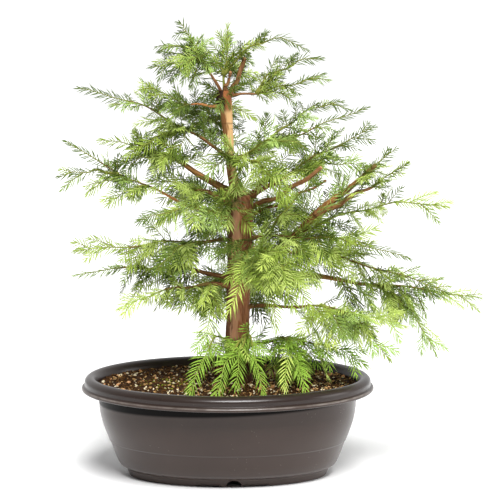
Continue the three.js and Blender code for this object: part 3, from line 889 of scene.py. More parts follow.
@dataclass
class Soil:
    """The potting mix: an uneven surface under thousands of loose grains."""

    half_width: float = 134.0
    half_depth: float = Pot.half_depth(134.0)
    edge_height: float = 95.8
    crown_rise: float = 2.4
    crown_spread: Pair = (0.1, 1.0)
    floor_half_width: float = 103.4
    floor_height: float = 12.4
    shoulder_in: float = 2.0
    shoulder_down: float = 8.0
    rings: int = 46
    hole: float = 0.02  # the last ring, as a share of the first
    sides: int = 144
    trunk_clear: float = 16.0
    lump: float = 1.3  # how much the surface rises and falls
    # how wide the waves are, and which slice of the noise they read
    hill: Pair = (22.0, 3.0)
    clod: Pair = (5.0, 8.0)
    patch: Pair = (16.0, 30.0)
    clod_share: float = 0.5
    thinning: Pair = (60.0, -110.0)  # between which places kinds grow rarer to the left
    spread: float = 0.985
    size_skew: float = 1.7  # above 1, small grains are commoner
    side_jitter: Pair = (0.75, 1.25)
    corner_jitter: Pair = (0.56, 1.28)
    tilt: float = 0.45
    proud: float = 0.16  # how far a grain's middle stands out of the surface, as a share of its size
    bed_earth: Earth = Earth("soil_bed", srgb(18, 10, 5), srgb(74, 48, 26), 320.0)
    grains: tuple[GrainKind, ...] = (
        GrainKind(Earth("soil_peat", srgb(26, 14, 6), srgb(108, 74, 38)), 5200, (0.9, 3.4), (1.0, 0.8, 0.6)),
        GrainKind(Earth("soil_chip", srgb(82, 54, 28), srgb(212, 170, 112)),
                  1400, (1.4, 6.4), (1.0, 0.5, 0.35), 0.7),
        GrainKind(Earth("soil_clay", srgb(178, 118, 70), srgb(230, 182, 134)),
                  90, (2.2, 6.0), (1.0, 0.75, 0.6), 0.3),
        GrainKind(Earth("soil_pumice", srgb(206, 184, 136), srgb(252, 242, 212)),
                  680, (1.2, 4.8), (1.0, 0.66, 0.5), 0.4),
        GrainKind(Earth("soil_moss", srgb(88, 98, 22), srgb(158, 164, 54)),
                  9000, (0.9, 2.6), (1.0, 0.9, 0.6), 0.0, 0.42, (-62.0, -6.0, 38.0)),
    )

    @staticmethod
    def waves(x: Numbers, y: Numbers, size: float, level: float) -> Numbers:
        """Smooth noise at places on the soil, in waves of a size, from one slice of the noise."""
        return np.array([noise.noise(Vector((a / size, b / size, level))) for a, b in zip(x, y)])

    def height(self, x: Numbers, y: Numbers) -> Numbers:
        """The soil's surface height at places on it.

        Args:
            x: How far right they are.
            y: How far back they are.

        Returns:
            The heights.
        """
        out = np.hypot(x / self.half_width, y / self.half_depth)
        swell = self.crown_rise * (1 - smooth_step(*self.crown_spread, out))
        lumps = self.waves(x, y, *self.hill) + self.clod_share * self.waves(x, y, *self.clod)
        return self.edge_height + swell + self.lump * lumps

    def bed(self) -> Mesh:
        """The surface and the body of soil below it, as one closed form.

        Returns:
            The mesh.
        """
        form = bmesh.new()
        surface = [self.ring(share * self.half_width, share * self.half_depth)
                   for share in np.linspace(1, self.hole, self.rings)]
        shoulder = self.half_width - self.shoulder_in
        loft(form, [
            self.ring(self.floor_half_width, Pot.half_depth(self.floor_half_width), self.floor_height),
            self.ring(shoulder, Pot.half_depth(shoulder), self.edge_height - self.shoulder_down),
            *surface,
        ])
        return write_mesh(form)

    def ring(self, half_width: float, half_depth: float, height: float | None = None) -> Numbers:
        """One oval ring of the bed.

        Args:
            half_width: Half its width.
            half_depth: Half its depth.
            height: Its height, or None where it lies on the soil's surface.

        Returns:
            Its corners.
        """
        ring = oval(self.sides, half_width, half_depth, height or 0.0)
        if height is None:
            ring[:, 2] = self.height(ring[:, 0], ring[:, 1])
        return ring

    def scatter(self, kind: GrainKind, draw: np.random.Generator) -> Numbers:
        """Places for one kind of grain on the surface.

        Args:
            kind: The kind.
            draw: The seeded draws.

        Returns:
            The middle of each grain.
        """
        out = np.sqrt(draw.random(kind.count)) * self.spread
        angle = draw.random(kind.count) * 2 * np.pi
        x, y = self.half_width * out * np.cos(angle), self.half_depth * out * np.sin(angle)
        left = smooth_step(*self.thinning, x)
        drift = self.waves(x, y, *self.patch)
        wanted = (draw.random(kind.count) > kind.rarer_left * left) & (drift > kind.patches - 0.5)
        if kind.around:
            middle_x, middle_y, width = kind.around
            wanted &= np.hypot(x - middle_x, y - middle_y) < width * draw.random(kind.count)
        clear = np.hypot(x - TRUNK_X, y) > self.trunk_clear
        x, y = x[wanted & clear], y[wanted & clear]
        return np.stack([x, y, self.height(x, y)], 1)

    def build(self, draw: np.random.Generator) -> None:
        """Lays the bed and strews the grains.

        Args:
            draw: The seeded draws.
        """
        install(self.bed(), "soil_bed", self.bed_earth.build(), ["soil"])
        pebble = Template.pebble()
        for kind in self.grains:
            middles = self.scatter(kind, draw)
            count = len(middles)
            size = between(*kind.sizes, draw.random(count) ** self.size_skew)
            shape = size[:, None] / 2 * np.array(kind.squash) * draw.uniform(*self.side_jitter, (count, 3))
            turn = draw.random(count) * 2 * np.pi
            tilt = draw.normal(0, self.tilt, count)
            corners = (count, len(pebble.points), 1)
            lumps = pebble.points[None] * draw.uniform(*self.corner_jitter, corners)
            local = lumps * shape[:, None]
            c, s = np.cos(tilt)[:, None], np.sin(tilt)[:, None]
            x, z = local[..., 0] * c - local[..., 2] * s, local[..., 0] * s + local[..., 2] * c
            c, s = np.cos(turn)[:, None], np.sin(turn)[:, None]
            turned = np.stack([x * c - local[..., 1] * s, x * s + local[..., 1] * c, z], 2)
            middles[:, 2] += size * self.proud
            mesh = pebble.repeated(turned + middles[:, None])
            install(mesh, kind.earth.name, kind.earth.build())


# ---------------------------------------------------------------- repeated small forms


@dataclass(frozen=True)
class Template:
    """A small closed form, shaped once, that is repeated hundreds of times."""

    points: Numbers
    faces: Numbers

    @classmethod
    def from_form(cls, form: Form) -> "Template":
        """Reads a form's corners and triangles.

        Args:
            form: The form, which is freed.

        Returns:
            The template.
        """
        bmesh.ops.recalc_face_normals(form, faces=form.faces)
        bmesh.ops.triangulate(form, faces=form.faces)
        form.verts.index_update()
        points = np.array([corner.co[:] for corner in form.verts])
        faces = np.array([[corner.index for corner in face.verts] for face in form.faces])
        form.free()
        return cls(points, faces)

    @classmethod
    @cache
    def pebble(cls) -> "Template":
        """A grain of 20 faces.

        Returns:
            The template.
        """
        form = bmesh.new()
        bmesh.ops.create_icosphere(form, subdivisions=1, radius=1)
        return cls.from_form(form)

    @classmethod
    @cache
    def needle(cls) -> "Template":
        """A blade with a raised midrib, from 0 to 1 along X, 1 wide and 1 thick.

        Returns:
            The template.
        """
        form = bmesh.new()
        stations = ((0.12, 0.8), (0.58, 1.0))
        section = np.array([[0, -0.5, 0], [0, 0.5, 0], [0, 0, 1]])
        rings = [section * (1, wide, wide) + (along, 0, 0) for along, wide in stations]
        ring = start_ring(form, rings[0])
        root = bmesh.ops.poke(form, faces=form.faces[:])["verts"][0]
        root.co = (0, 0, 0.3)
        ring = carry_ring(form, ring, rings[1])
        bmesh.ops.contextual_create(form, geom=ring)
        cap = next(face for face in form.faces if set(face.verts) == set(ring))
        tip = bmesh.ops.poke(form, faces=[cap])["verts"][0]
        tip.co = (1, 0, 0.2)
        return cls.from_form(form)

    @classmethod
    @cache
    def rod(cls, rings: int, sides: int) -> "Template":
        """A round rod whose corners are numbered ring by ring, with a face at each end.

        Args:
            rings: How many rings it has.
            sides: How many corners each has.

        Returns:
            The template.
        """
        form = bmesh.new()
        order = loft(form, [oval(sides, 1, 1, k) for k in range(rings)])
        form.verts.index_update()
        rank = {corner.index: place for place, corner in enumerate(order)}
        made = cls.from_form(form)
        renamed = np.vectorize(rank.get)(made.faces)
        points = np.empty_like(made.points)
        points[[rank[i] for i in range(len(points))]] = made.points
        return cls(points, renamed)

    def repeated(self, points: Numbers) -> Mesh:
        """One mesh of many copies.

        Args:
            points: The corners of every copy, in millimetres.

        Returns:
            The mesh, in metres.
        """
        copies, corners, _ = points.shape
        faces = (self.faces[None] + corners * np.arange(copies)[:, None, None]).reshape(-1, 3)
        mesh = bpy.data.meshes.new("copies")
        mesh.vertices.add(copies * corners)
        mesh.vertices.foreach_set("co", (points * MM).astype(np.float32).ravel())
        mesh.loops.add(faces.size)
        mesh.loops.foreach_set("vertex_index", faces.astype(np.int32).ravel())
        mesh.polygons.add(len(faces))
        mesh.polygons.foreach_set("loop_start", np.arange(0, faces.size, 3, dtype=np.int32))
        mesh.update(calc_edges=True)
        mesh.validate()
        return mesh


# ---------------------------------------------------------------- limbs


@dataclass
class Limb:
    """One limb: a curve that leaves the trunk at a height, or another limb at a share of its run.

    It heads off at an angle from +X and ends reach away and rise higher. bow lifts and sway shifts
    its middle. Its bare share is a bough, thick across at the root, and the rest carries sprays of
    about spray and a last spray along the final tail.
    """

    name: str
    heading: float
    reach: float
    rise: float
    bow: float
    height: float = 0.0
    on: str = ""
    at: float = 0.0
    bare: float = 0.0
    thick: float = 3.4
    sway: float = 0.0
    spray: float = 50.0
    tail: float = 42.0

    def grow(self, seed: int, trunk: "Trunk", others: dict[str, "Limb"]) -> None:
        """Sets the limb on what it grows from.

        Args:
            seed: The limb's number.
            trunk: The trunk.
            others: The limbs before it, by name.
        """
        self.seed = seed
        self.parent = others.get(self.on)
        self.base = self.parent.point(self.at) if self.parent else trunk.middle(self.height)
        self.socket = self.parent.radius(self.at) if self.parent else trunk.radius(self.height)
        angle = math.radians(self.heading)
        self.out = np.array([math.cos(angle), math.sin(angle), 0.0])
        self.across = np.array([-self.out[1], self.out[0], 0.0])
        start, middle, end = self.point(0.0), self.point(0.5), self.point(1.0)
        self.length = np.linalg.norm(middle - start) + np.linalg.norm(end - middle)
        self.tail_start = max(self.bare + 0.1, 1 - self.tail / self.length)

    def point(self, t: Numbers | float) -> Numbers:
        """The limb's middle at shares of its run.

        Args:
            t: The shares.

        Returns:
            The places.
        """
        t = np.asarray(t, float)[..., None]
        hump = 4 * t * (1 - t)
        wander = CROOK * np.sin(3 * np.pi * t + self.seed)
        nod = CROOK * np.sin(5 * np.pi * t + 2 * self.seed)
        level = self.out * self.reach * t + self.across * (self.sway + wander) * hump
        return self.base + level + UP * (self.rise * t + (self.bow + nod) * hump)

    def along(self, t: Numbers | float) -> Numbers:
        """The way that the limb runs at shares of it."""
        step = 0.01
        return unit(self.point(np.asarray(t) + step) - self.point(np.asarray(t) - step))

    def radius(self, t: Numbers | float) -> Numbers | float:
        """The limb's radius at shares of its run.

        Args:
            t: The shares.

        Returns:
            The radii.
        """
        root = self.thick / 2
        tip = root * (BARE_TIP if self.bare == 1 else LEAFY_TIP)
        share = np.asarray(t) / max(self.bare, 0.5)
        return np.maximum(root + (tip - root) * share, THINNEST)


def crown_limbs() -> list[Limb]:
    """Lists the tree's limbs.

    Returns:
        Every limb, in the order that its number comes from.
    """
    return [
        # top of the crown
        Limb("crown_left", 180, 64, 46, 22, height=392, bare=0.3, thick=3),
        Limb("crown_left_low", 200, 53, -6, 0, on="crown_left", at=0.34),
        Limb("crown_left_up", 150, 22, 33, 4, on="crown_left", at=0.4, spray=26, tail=28),
        Limb("crown_front", 252, 56, -8, 10, on="crown_left", at=0.32, spray=32),
        Limb("crown_top", 75, 16, 70, 0, height=392, spray=36),
        Limb("crown_right_up", 10, 38, 28, 6, on="crown_top", at=0.45, spray=26, tail=28),
        Limb("crown_back", 95, 86, 14, 10, on="crown_top", at=0.3),
        Limb("crown_arch", 345, 86, 27, 22, on="crown_top", at=0.28, spray=26, tail=48),
        Limb("crown_right", 8, 102, 22, -4, height=392, bare=0.28, thick=3, spray=40),
        Limb("stub_crown", 5, 21, 42, -6, height=388, bare=1, thick=5.6),
        # leader
        Limb("left_top", 190, 84, 25, -10, height=384, bare=0.4, thick=3.2),
        Limb("left_high", 170, 159, 71, 12, height=328, bare=0.24, thick=3.8, spray=44, tail=62),
        Limb("left_high_low", 205, 66, -24, 5, on="left_high", at=0.28, spray=44),
        Limb("right_high", 10, 142, 52, 0, height=327, bare=0.18, thick=4.2, spray=40, tail=58),
        Limb("right_high_up", 24, 92, 46, 10, on="right_high", at=0.22, spray=36, tail=44),
        Limb("right_high_front", 316, 104, 26, 18, height=318),
        Limb("back_high", 100, 132, 30, 12, height=342, spray=46),
        Limb("back_high_left", 138, 100, 16, 8, on="back_high", at=0.25),
        # knuckle
        Limb("left_upper", 172, 144, 62, 13, height=284, bare=0.37, thick=9, spray=47),
        Limb("left_lower", 192, 92, 31, 6, height=277, bare=0.36, thick=6),
        Limb("left_upper_low", 200, 66, -4, 6, on="left_upper", at=0.45),
        Limb("left_long", 186, 176, 83, -8, height=264, bare=0.5, thick=4.5, spray=34, tail=42),
        Limb("left_long_up", 184, 60, -2, 4, on="left_long", at=0.7, spray=16, tail=36),
        Limb("left_long_low", 202, 44, -12, 6, on="left_long", at=0.64, spray=20, tail=30),
        Limb("left_front", 220, 128, 4, 10, height=270, spray=48),
        Limb("right_knuckle", 55, 104, 50, -6, height=286, bare=0.32, thick=6),
        Limb("right_broken", 340, 87, 46, -6, height=276, bare=1, thick=5.4),
        Limb("right_mid_up", 20, 148, 76, 4, height=281, bare=0.33, thick=5.5),
        Limb("right_mid_up_low", 350, 84, 8, 8, on="right_mid_up", at=0.36, spray=46),
        Limb("twig_bare", 347, 90, 42, -2, height=266, bare=1, thick=3),
        # middle
        Limb("right_big", 350, 160, 144, 3, height=196, bare=0.76, thick=12, spray=42, tail=34),
        Limb("right_big_fork", 344, 94, 54, -2, on="right_big", at=0.5, bare=0.6, thick=6.5, spray=32),
        Limb("right_big_low", 353, 158, 36, 16, on="right_big", at=0.34, spray=40, tail=56),
        Limb("right_mid", 345, 176, -13, 11, height=245, bare=0.14, thick=4.5, tail=58),
        Limb("right_thin", 353, 212, -42, 12, height=236, bare=0.3, thick=4, spray=42),
        Limb("right_long", 358, 248, -26, 3, height=212, bare=0.4, thick=8, tail=56),
        Limb("right_long_low", 344, 60, -68, 12, on="right_long", at=0.58, spray=40),
        Limb("left_mid", 190, 168, -8, 2, height=245, bare=0.2, thick=4, spray=44, tail=56),
        Limb("left_mid_low", 174, 170, 2, 10, height=204, bare=0.22, thick=5.5, spray=44, tail=50),
        Limb("left_low", 206, 130, -12, 10, height=196, bare=0.2, thick=5.5, spray=40),
        Limb("left_hang", 266, 34, -68, 8, on="left_low", at=0.24, spray=34, tail=48),
        Limb("front_spray", 250, 44, 2, 6, height=238, spray=24, tail=30),
        Limb("front_drape", 261, 64, -50, 20, height=231, sway=12, spray=24, tail=46),
        Limb("front_right", 304, 126, -40, 24, height=228),
        Limb("back_left", 122, 150, 26, 12, height=262),
        Limb("back_right", 58, 152, 16, 12, height=246),
        # foot
        Limb("right_low", 342, 176, -10, 10, height=174, bare=0.38, thick=4.5),
        Limb("right_low_fork", 332, 76, -48, 10, on="right_low", at=0.5),
        Limb("back_low", 98, 148, -8, 16, height=186),
        Limb("back_low_right", 40, 100, -10, 10, on="back_low", at=0.25),
        Limb("base_right", 345, 134, -8, 18, height=130, bare=0.25, thick=4.2),
        Limb("base_right_front", 265, 72, -37, 16, on="base_right", at=0.42, spray=24, tail=46),
        Limb("base_right_side", 288, 76, -36, 16, on="base_right", at=0.34, spray=26, tail=46),
        Limb("base_front", 285, 99, -26, 32, height=131, spray=26, tail=50),
        Limb("base_front_low", 245, 67, -47, 10, on="base_front", at=0.3, spray=22, tail=48),
        Limb("front_low", 257, 45, -43, 10, on="base_front", at=0.32, spray=20, tail=36),
        Limb("base_left", 242, 98, -27, 30, height=131, spray=28, tail=48),
        # between the masses
        Limb("crown_right_tip", 4, 64, 36, 10, on="crown_right", at=0.34, spray=30, tail=32),
        Limb("left_high_front", 258, 44, -22, 6, on="left_high", at=0.27, spray=32),
        Limb("leader_front", 222, 42, -14, 8, on="right_high_front", at=0.12, spray=30, tail=28),
        Limb("right_high_low", 305, 80, -34, 8, on="right_high_front", at=0.14, spray=40),
        Limb("left_long_mid", 200, 42, -16, 4, on="left_long", at=0.53, spray=20, tail=28),
        Limb("left_mid_front", 232, 70, -22, 8, on="left_mid", at=0.24, spray=40),
        Limb("crown_right_back", 50, 40, 36, 4, on="crown_right", at=0.33, spray=28, tail=30),
        Limb("right_cover", 316, 66, 60, 6, on="right_mid", at=0.17, spray=36),
        Limb("left_upper_front", 246, 52, 6, 12, on="left_upper", at=0.4, spray=38),
        Limb("leader_low", 292, 38, 36, 8, on="left_front", at=0.13, spray=28, tail=28),
        Limb("front_right_low", 300, 74, -46, 10, on="front_right", at=0.24, spray=40),
        Limb("front_right_in", 285, 60, -66, 14, on="front_right", at=0.3, spray=36),
        Limb("stub_twig", 335, 8, 24, 0, height=392, bare=1, thick=4),
    ]


# ---------------------------------------------------------------- wood


@dataclass
class Trunk:
    """The trunk, from its flare in the soil to the knot of limbs at its tip."""

    # height, radius and how far the middle stands to the right
    stations: tuple[Triple, ...] = (
        (97.8, 17, 10), (104, 14.2, 10), (118, 12.8, 10), (150, 12.4, 10), (190, 12.2, 11), (235, 12.2, 12),
        (260, 13, 12.5), (275, 14.5, 13), (288, 12.8, 12.5), (298, 7.6, 9.5), (312, 5.2, 5), (332, 4.8, 2.5),
        (354, 5.3, 0.8), (374, 6.3, -1), (386, 8.3, -3.2), (393, 8.2, -4), (398, 5, -4),
    )
    sides: int = 72
    step: float = 1.5
    buried: float = 2.5
    fork_height: float = 296.0
    fork_blend: float = 8.0
    # how wide, how tall, how strong and in which slice of noise each layer of the relief is
    layers: tuple[tuple[float, float, float, float], ...] = (
        (4.2, 34.0, 0.5, 0.0), (8.5, 60.0, 0.9, 5.0), (1.8, 9.0, 0.35, 9.0))
    fissure_width: float = 0.09
    fissure_depth: float = 0.75
    leader_relief: float = 0.28
    roots: int = 5
    root_turn: float = 0.8
    root_spread: float = 0.6
    flare: float = 1.4
    flare_height: float = 14.0
    smoothing: float = 4.0
    smoothed: int = 9

    def read(self, height: Numbers | float, column: int) -> Numbers | float:
        """A station value between the stations."""
        heights, values = zip(*((station[0], station[column]) for station in self.stations))
        return np.interp(height, heights, values)

    def radius(self, height: Numbers | float) -> Numbers | float:
        """The trunk's radius at a height."""
        return self.read(height, 1)

    def middle(self, height: float) -> Numbers:
        """The middle of the trunk at a height."""
        return np.array([self.read(height, 2), 0.0, height])

    def relief(self, angle: float, height: float, radius: float) -> float:
        """How far the bark stands out of the trunk's round at one place.

        Args:
            angle: The place's angle round the trunk.
            height: Its height.
            radius: The trunk's radius there.

        Returns:
            The distance, negative in a fissure.
        """
        x, y = radius * math.cos(angle), radius * math.sin(angle)
        levels = [
            noise.noise(Vector((x / wide, y / wide, height / tall + layer)))
            for wide, tall, _, layer in self.layers
        ]
        rough = sum(layer[2] * level for layer, level in zip(self.layers, levels))
        rough -= self.fissure_depth * math.exp(-((levels[0] / self.fissure_width) ** 2))
        fork, blend = self.fork_height, self.fork_blend
        old = float(smooth_step(fork + blend, fork - blend, height))
        foot = self.flare * max(0.0, 1 - (height - self.stations[0][0]) / self.flare_height)
        flare = foot * math.cos(self.roots * angle + self.root_turn + self.root_spread * math.sin(angle))
        return rough * between(self.leader_relief, 1.0, old) + flare

    def build(self) -> None:
        """Turns the trunk ring by ring."""
        form = wood_form()
        low, high = self.stations[0][0], self.stations[-1][0]
        angles = angles_round(self.sides)
        rings, grains = [], []
        for height in [*np.arange(low - self.buried, high, self.step), high]:
            radius = self.smooth_radius(height)
            reach = np.array([radius + self.relief(angle, height, radius) for angle in angles])
            level = np.full(self.sides, height)
            grains.append(np.stack([reach * np.cos(angles), reach * np.sin(angles), level], 1))
            rings.append(grains[-1] + RIGHT * self.read(height, 2))
        loft(form, rings, grains)
        install(write_mesh(form), "trunk_bark", TrunkFinish().build(), ["trunk"])

    def smooth_radius(self, height: float) -> float:
        """The radius at a height, averaged over a short stretch so that no station shows."""
        span = np.linspace(-self.smoothing, self.smoothing, self.smoothed)
        return float(np.mean(self.radius(height + span)))


class Wood(Enum):
    """The barks that limbs are dealt."""

    OLD = "old"
    YOUNG = "young"
    AMBER = "amber"


@dataclass
class Boughs:
    """The limbs' woody stretches, with collars, knots and stringy bark."""

    sides: int = 14
    step: float = 1.8
    stem_share: float = 0.08
    collar_most: float = 0.5
    collar_whole: float = 14.0  # the thickness whose collar would be twice as thick
    collar_run: float = 8.0
    knot: float = 0.22
    knot_run: float = 9.0
    knot_shift: float = 3.1
    rough: float = 0.16
    fibre: float = 1.5
    grain_gap: float = 40.0  # how far apart the grains of two limbs lie
    old_from: float = 7.0  # thickness from which a limb's bark is old
    amber: tuple[str, ...] = ("left_top", "left_long", "right_thin")
    barks: dict[Wood, Bark] = field(default_factory=lambda: {
        Wood.OLD: Bark(
            "bough_old_bark", srgb(38, 22, 10), srgb(104, 68, 34), srgb(214, 160, 96), 320.0, 4.6),
        Wood.YOUNG: Bark(
            "bough_young_bark", srgb(46, 27, 13), srgb(116, 76, 46), srgb(196, 144, 94), 520.0, 3.4),
        Wood.AMBER: Bark(
            "bough_amber_bark", srgb(116, 66, 32), srgb(184, 116, 62), srgb(228, 168, 108), 520.0, 3.0),
    })

    def wood_of(self, limb: Limb) -> Wood:
        """The bark that a limb wears.

        Args:
            limb: The limb.

        Returns:
            The bark.
        """
        if limb.name in self.amber:
            return Wood.AMBER
        return Wood.OLD if limb.thick >= self.old_from else Wood.YOUNG

    def add(self, form: Form, limb: Limb, end: float) -> None:
        """Adds one limb's wood to a form.

        Args:
            form: The form, with its grain layer.
            limb: The limb.
            end: The share of its run where the wood ends.
        """
        steps = max(4, math.ceil(end * limb.length / self.step))
        shares = np.linspace(0, end, steps + 1)
        path = limb.point(shares)
        side, top = face_frame(limb.along(shares))
        run = shares * limb.length
        swell = min(self.collar_most, limb.thick / self.collar_whole)
        collar = 1 + swell * smooth_step(limb.socket + self.collar_run, limb.socket, run)
        around = oval(self.sides, 1, 1, 0)[:, :2]
        rings, grains = [], []
        for k, radius in enumerate(limb.radius(shares) * collar):
            spots = around * radius
            far = run[k] / self.knot_run
            bump = noise.noise(Vector((far, limb.seed * self.knot_shift, 0.0)))
            knot = self.knot * max(0.0, bump) * radius
            rough = [
                self.rough * radius * noise.noise(Vector((x / self.fibre, y / self.fibre, far + limb.seed)))
                for x, y in spots
            ]
            spots = spots * ((radius + knot + np.array(rough)) / radius)[:, None]
            rings.append(path[k] + spots[:, :1] * side[k] + spots[:, 1:] * top[k])
            grains.append([(x, y, run[k] + self.grain_gap * limb.seed) for x, y in spots])
        loft(form, rings, grains)

    def build(self, limbs: Sequence[Limb]) -> None:
        """Makes one piece of each bark.

        Args:
            limbs: Every limb of the crown.
        """
        for wood, bark in self.barks.items():
            form = wood_form()
            worn = [limb for limb in limbs if limb.bare > 0 and self.wood_of(limb) is wood]
            for limb in worn:
                stem = limb.bare + self.stem_share * (limb.tail_start - limb.bare)
                self.add(form, limb, 1.0 if limb.bare == 1 else stem)
            nodes = [f"bough_{limb.name}" for limb in worn]
            install(write_mesh(form), f"boughs_{wood.value}", bark.build(), nodes)


@dataclass
class Scars:
    """The pale splintered ends of the broken limbs, and a cut stub on the trunk's knuckle."""

    broken: tuple[str, ...] = ("stub_crown", "stub_twig", "right_broken")
    # each ring's share of the length and of the radius
    taper: tuple[Pair, ...] = ((0.0, 1.0), (0.6, 0.96), (1.0, 0.62))
    splinter: float = 1.6
    worn: float = 0.3
    grain: Triple = (0.8, 3.0, 30.0)  # how fast it runs across and in, and how far apart two scars' lie
    raggedness: Pair = (0.88, 1.12)
    sides: int = 12
    stub_root: Triple = (16.0, -9.0, 279.0)
    stub_way: Triple = (0.25, -1.0, 0.2)
    stub_length: float = 6.5
    stub_radius: float = 2.3
    stub_seed: int = 7
    scar_length: float = 1.8
    scar_at: float = 0.985
    scar_way: float = 0.99
    overlap: float = 1.02  # how much wider than its limb a scar is
    heartwood: Bark = Bark(
        "heartwood", srgb(150, 86, 46), srgb(214, 152, 96), srgb(244, 210, 166), 600.0, 2.0)

    def plug(self, form: Form, root: Numbers, way: Numbers, radius: float,
             length: float, seed: int) -> None:
        """Adds one short splintered stub.

        Args:
            form: The form, with its grain layer.
            root: Where it starts.
            way: Which way it points.
            radius: Its radius.
            length: How far it stands out.
            seed: What tells its splinters from the others'.
        """
        side, top = face_frame(way)
        rings, grains = [], []
        for share, narrow in self.taper:
            places = []
            for k, turn in enumerate(angles_round(self.sides)):
                reach = radius * narrow * between(*self.raggedness, chance(seed, k, 1))
                tooth = self.splinter * share * (chance(seed, k, 2) - self.worn)
                outwards = side * math.cos(turn) + top * math.sin(turn)
                places.append(root + way * (length * share + tooth) + outwards * reach)
            rings.append(places)
            across, deep, apart = self.grain
            grains.append([(k * across, share * deep, length * share + apart * seed)
                           for k in range(self.sides)])
        loft(form, rings, grains)

    def build(self, limbs: dict[str, Limb]) -> None:
        """Makes the broken ends and the stub as one piece.

        Args:
            limbs: The limbs by name.
        """
        form = wood_form()
        for name in self.broken:
            limb = limbs[name]
            radius = float(limb.radius(1.0)) * self.overlap
            self.plug(form, limb.point(self.scar_at), limb.along(self.scar_way), radius, self.scar_length,
                      limb.seed)
        self.plug(form, np.array(self.stub_root), unit(np.array(self.stub_way)), self.stub_radius,
                  self.stub_length, self.stub_seed)
        install(write_mesh(form), "heartwood", self.heartwood.build())


# ---------------------------------------------------------------- foliage


class Tone(Enum):
    """The greens that sprays are dealt, from the shade outwards."""

    DEEP = 0
    LEAF = 1
    FRESH = 2
    LIME = 3
    GRASS = 4  # what leaf and fresh become low over the soil
    SAGE = 5  # what leaf becomes in a cool patch of the crown
    MINT = 6  # what fresh becomes there


class Pick(IntEnum):
    """Which of a spray's choices a draw is for; side feathers count on from theirs."""

    ROLL = 1
    LEAN = 2
    LENGTH = 3
    TWIST = 4
    TONE = 5
    TAIL_TONE = 6
    BRANCHES = 7
    SIDE_LEAN = 10
    SIDE_LENGTH = 20
    SIDE_LIFT = 30
    SIDE_LIGHTER = 50
    TUFT = 61
    TUFT_PLACE = 62
    TUFT_TURN = 63
    TUFT_LENGTH = 64
    TUFT_TONE = 65


@dataclass
class Shoot:
    """One feather: a thin twig with a row of needles on each side."""

    path: Numbers
    twist: float
    needle: float
    tone: Tone
    stout: float

    @property
    def length(self) -> float:
        """The twig's length."""
        return float(np.linalg.norm(np.diff(self.path, axis=0), axis=1).sum())


@dataclass(frozen=True)
class Row:
    """A row of sprays along a limb: where in each step they stand, how long they are, and their draws.

    hang is how far they lean to the ground.
    """

    shift: float
    shrink: float
    salt: int
    hang: float


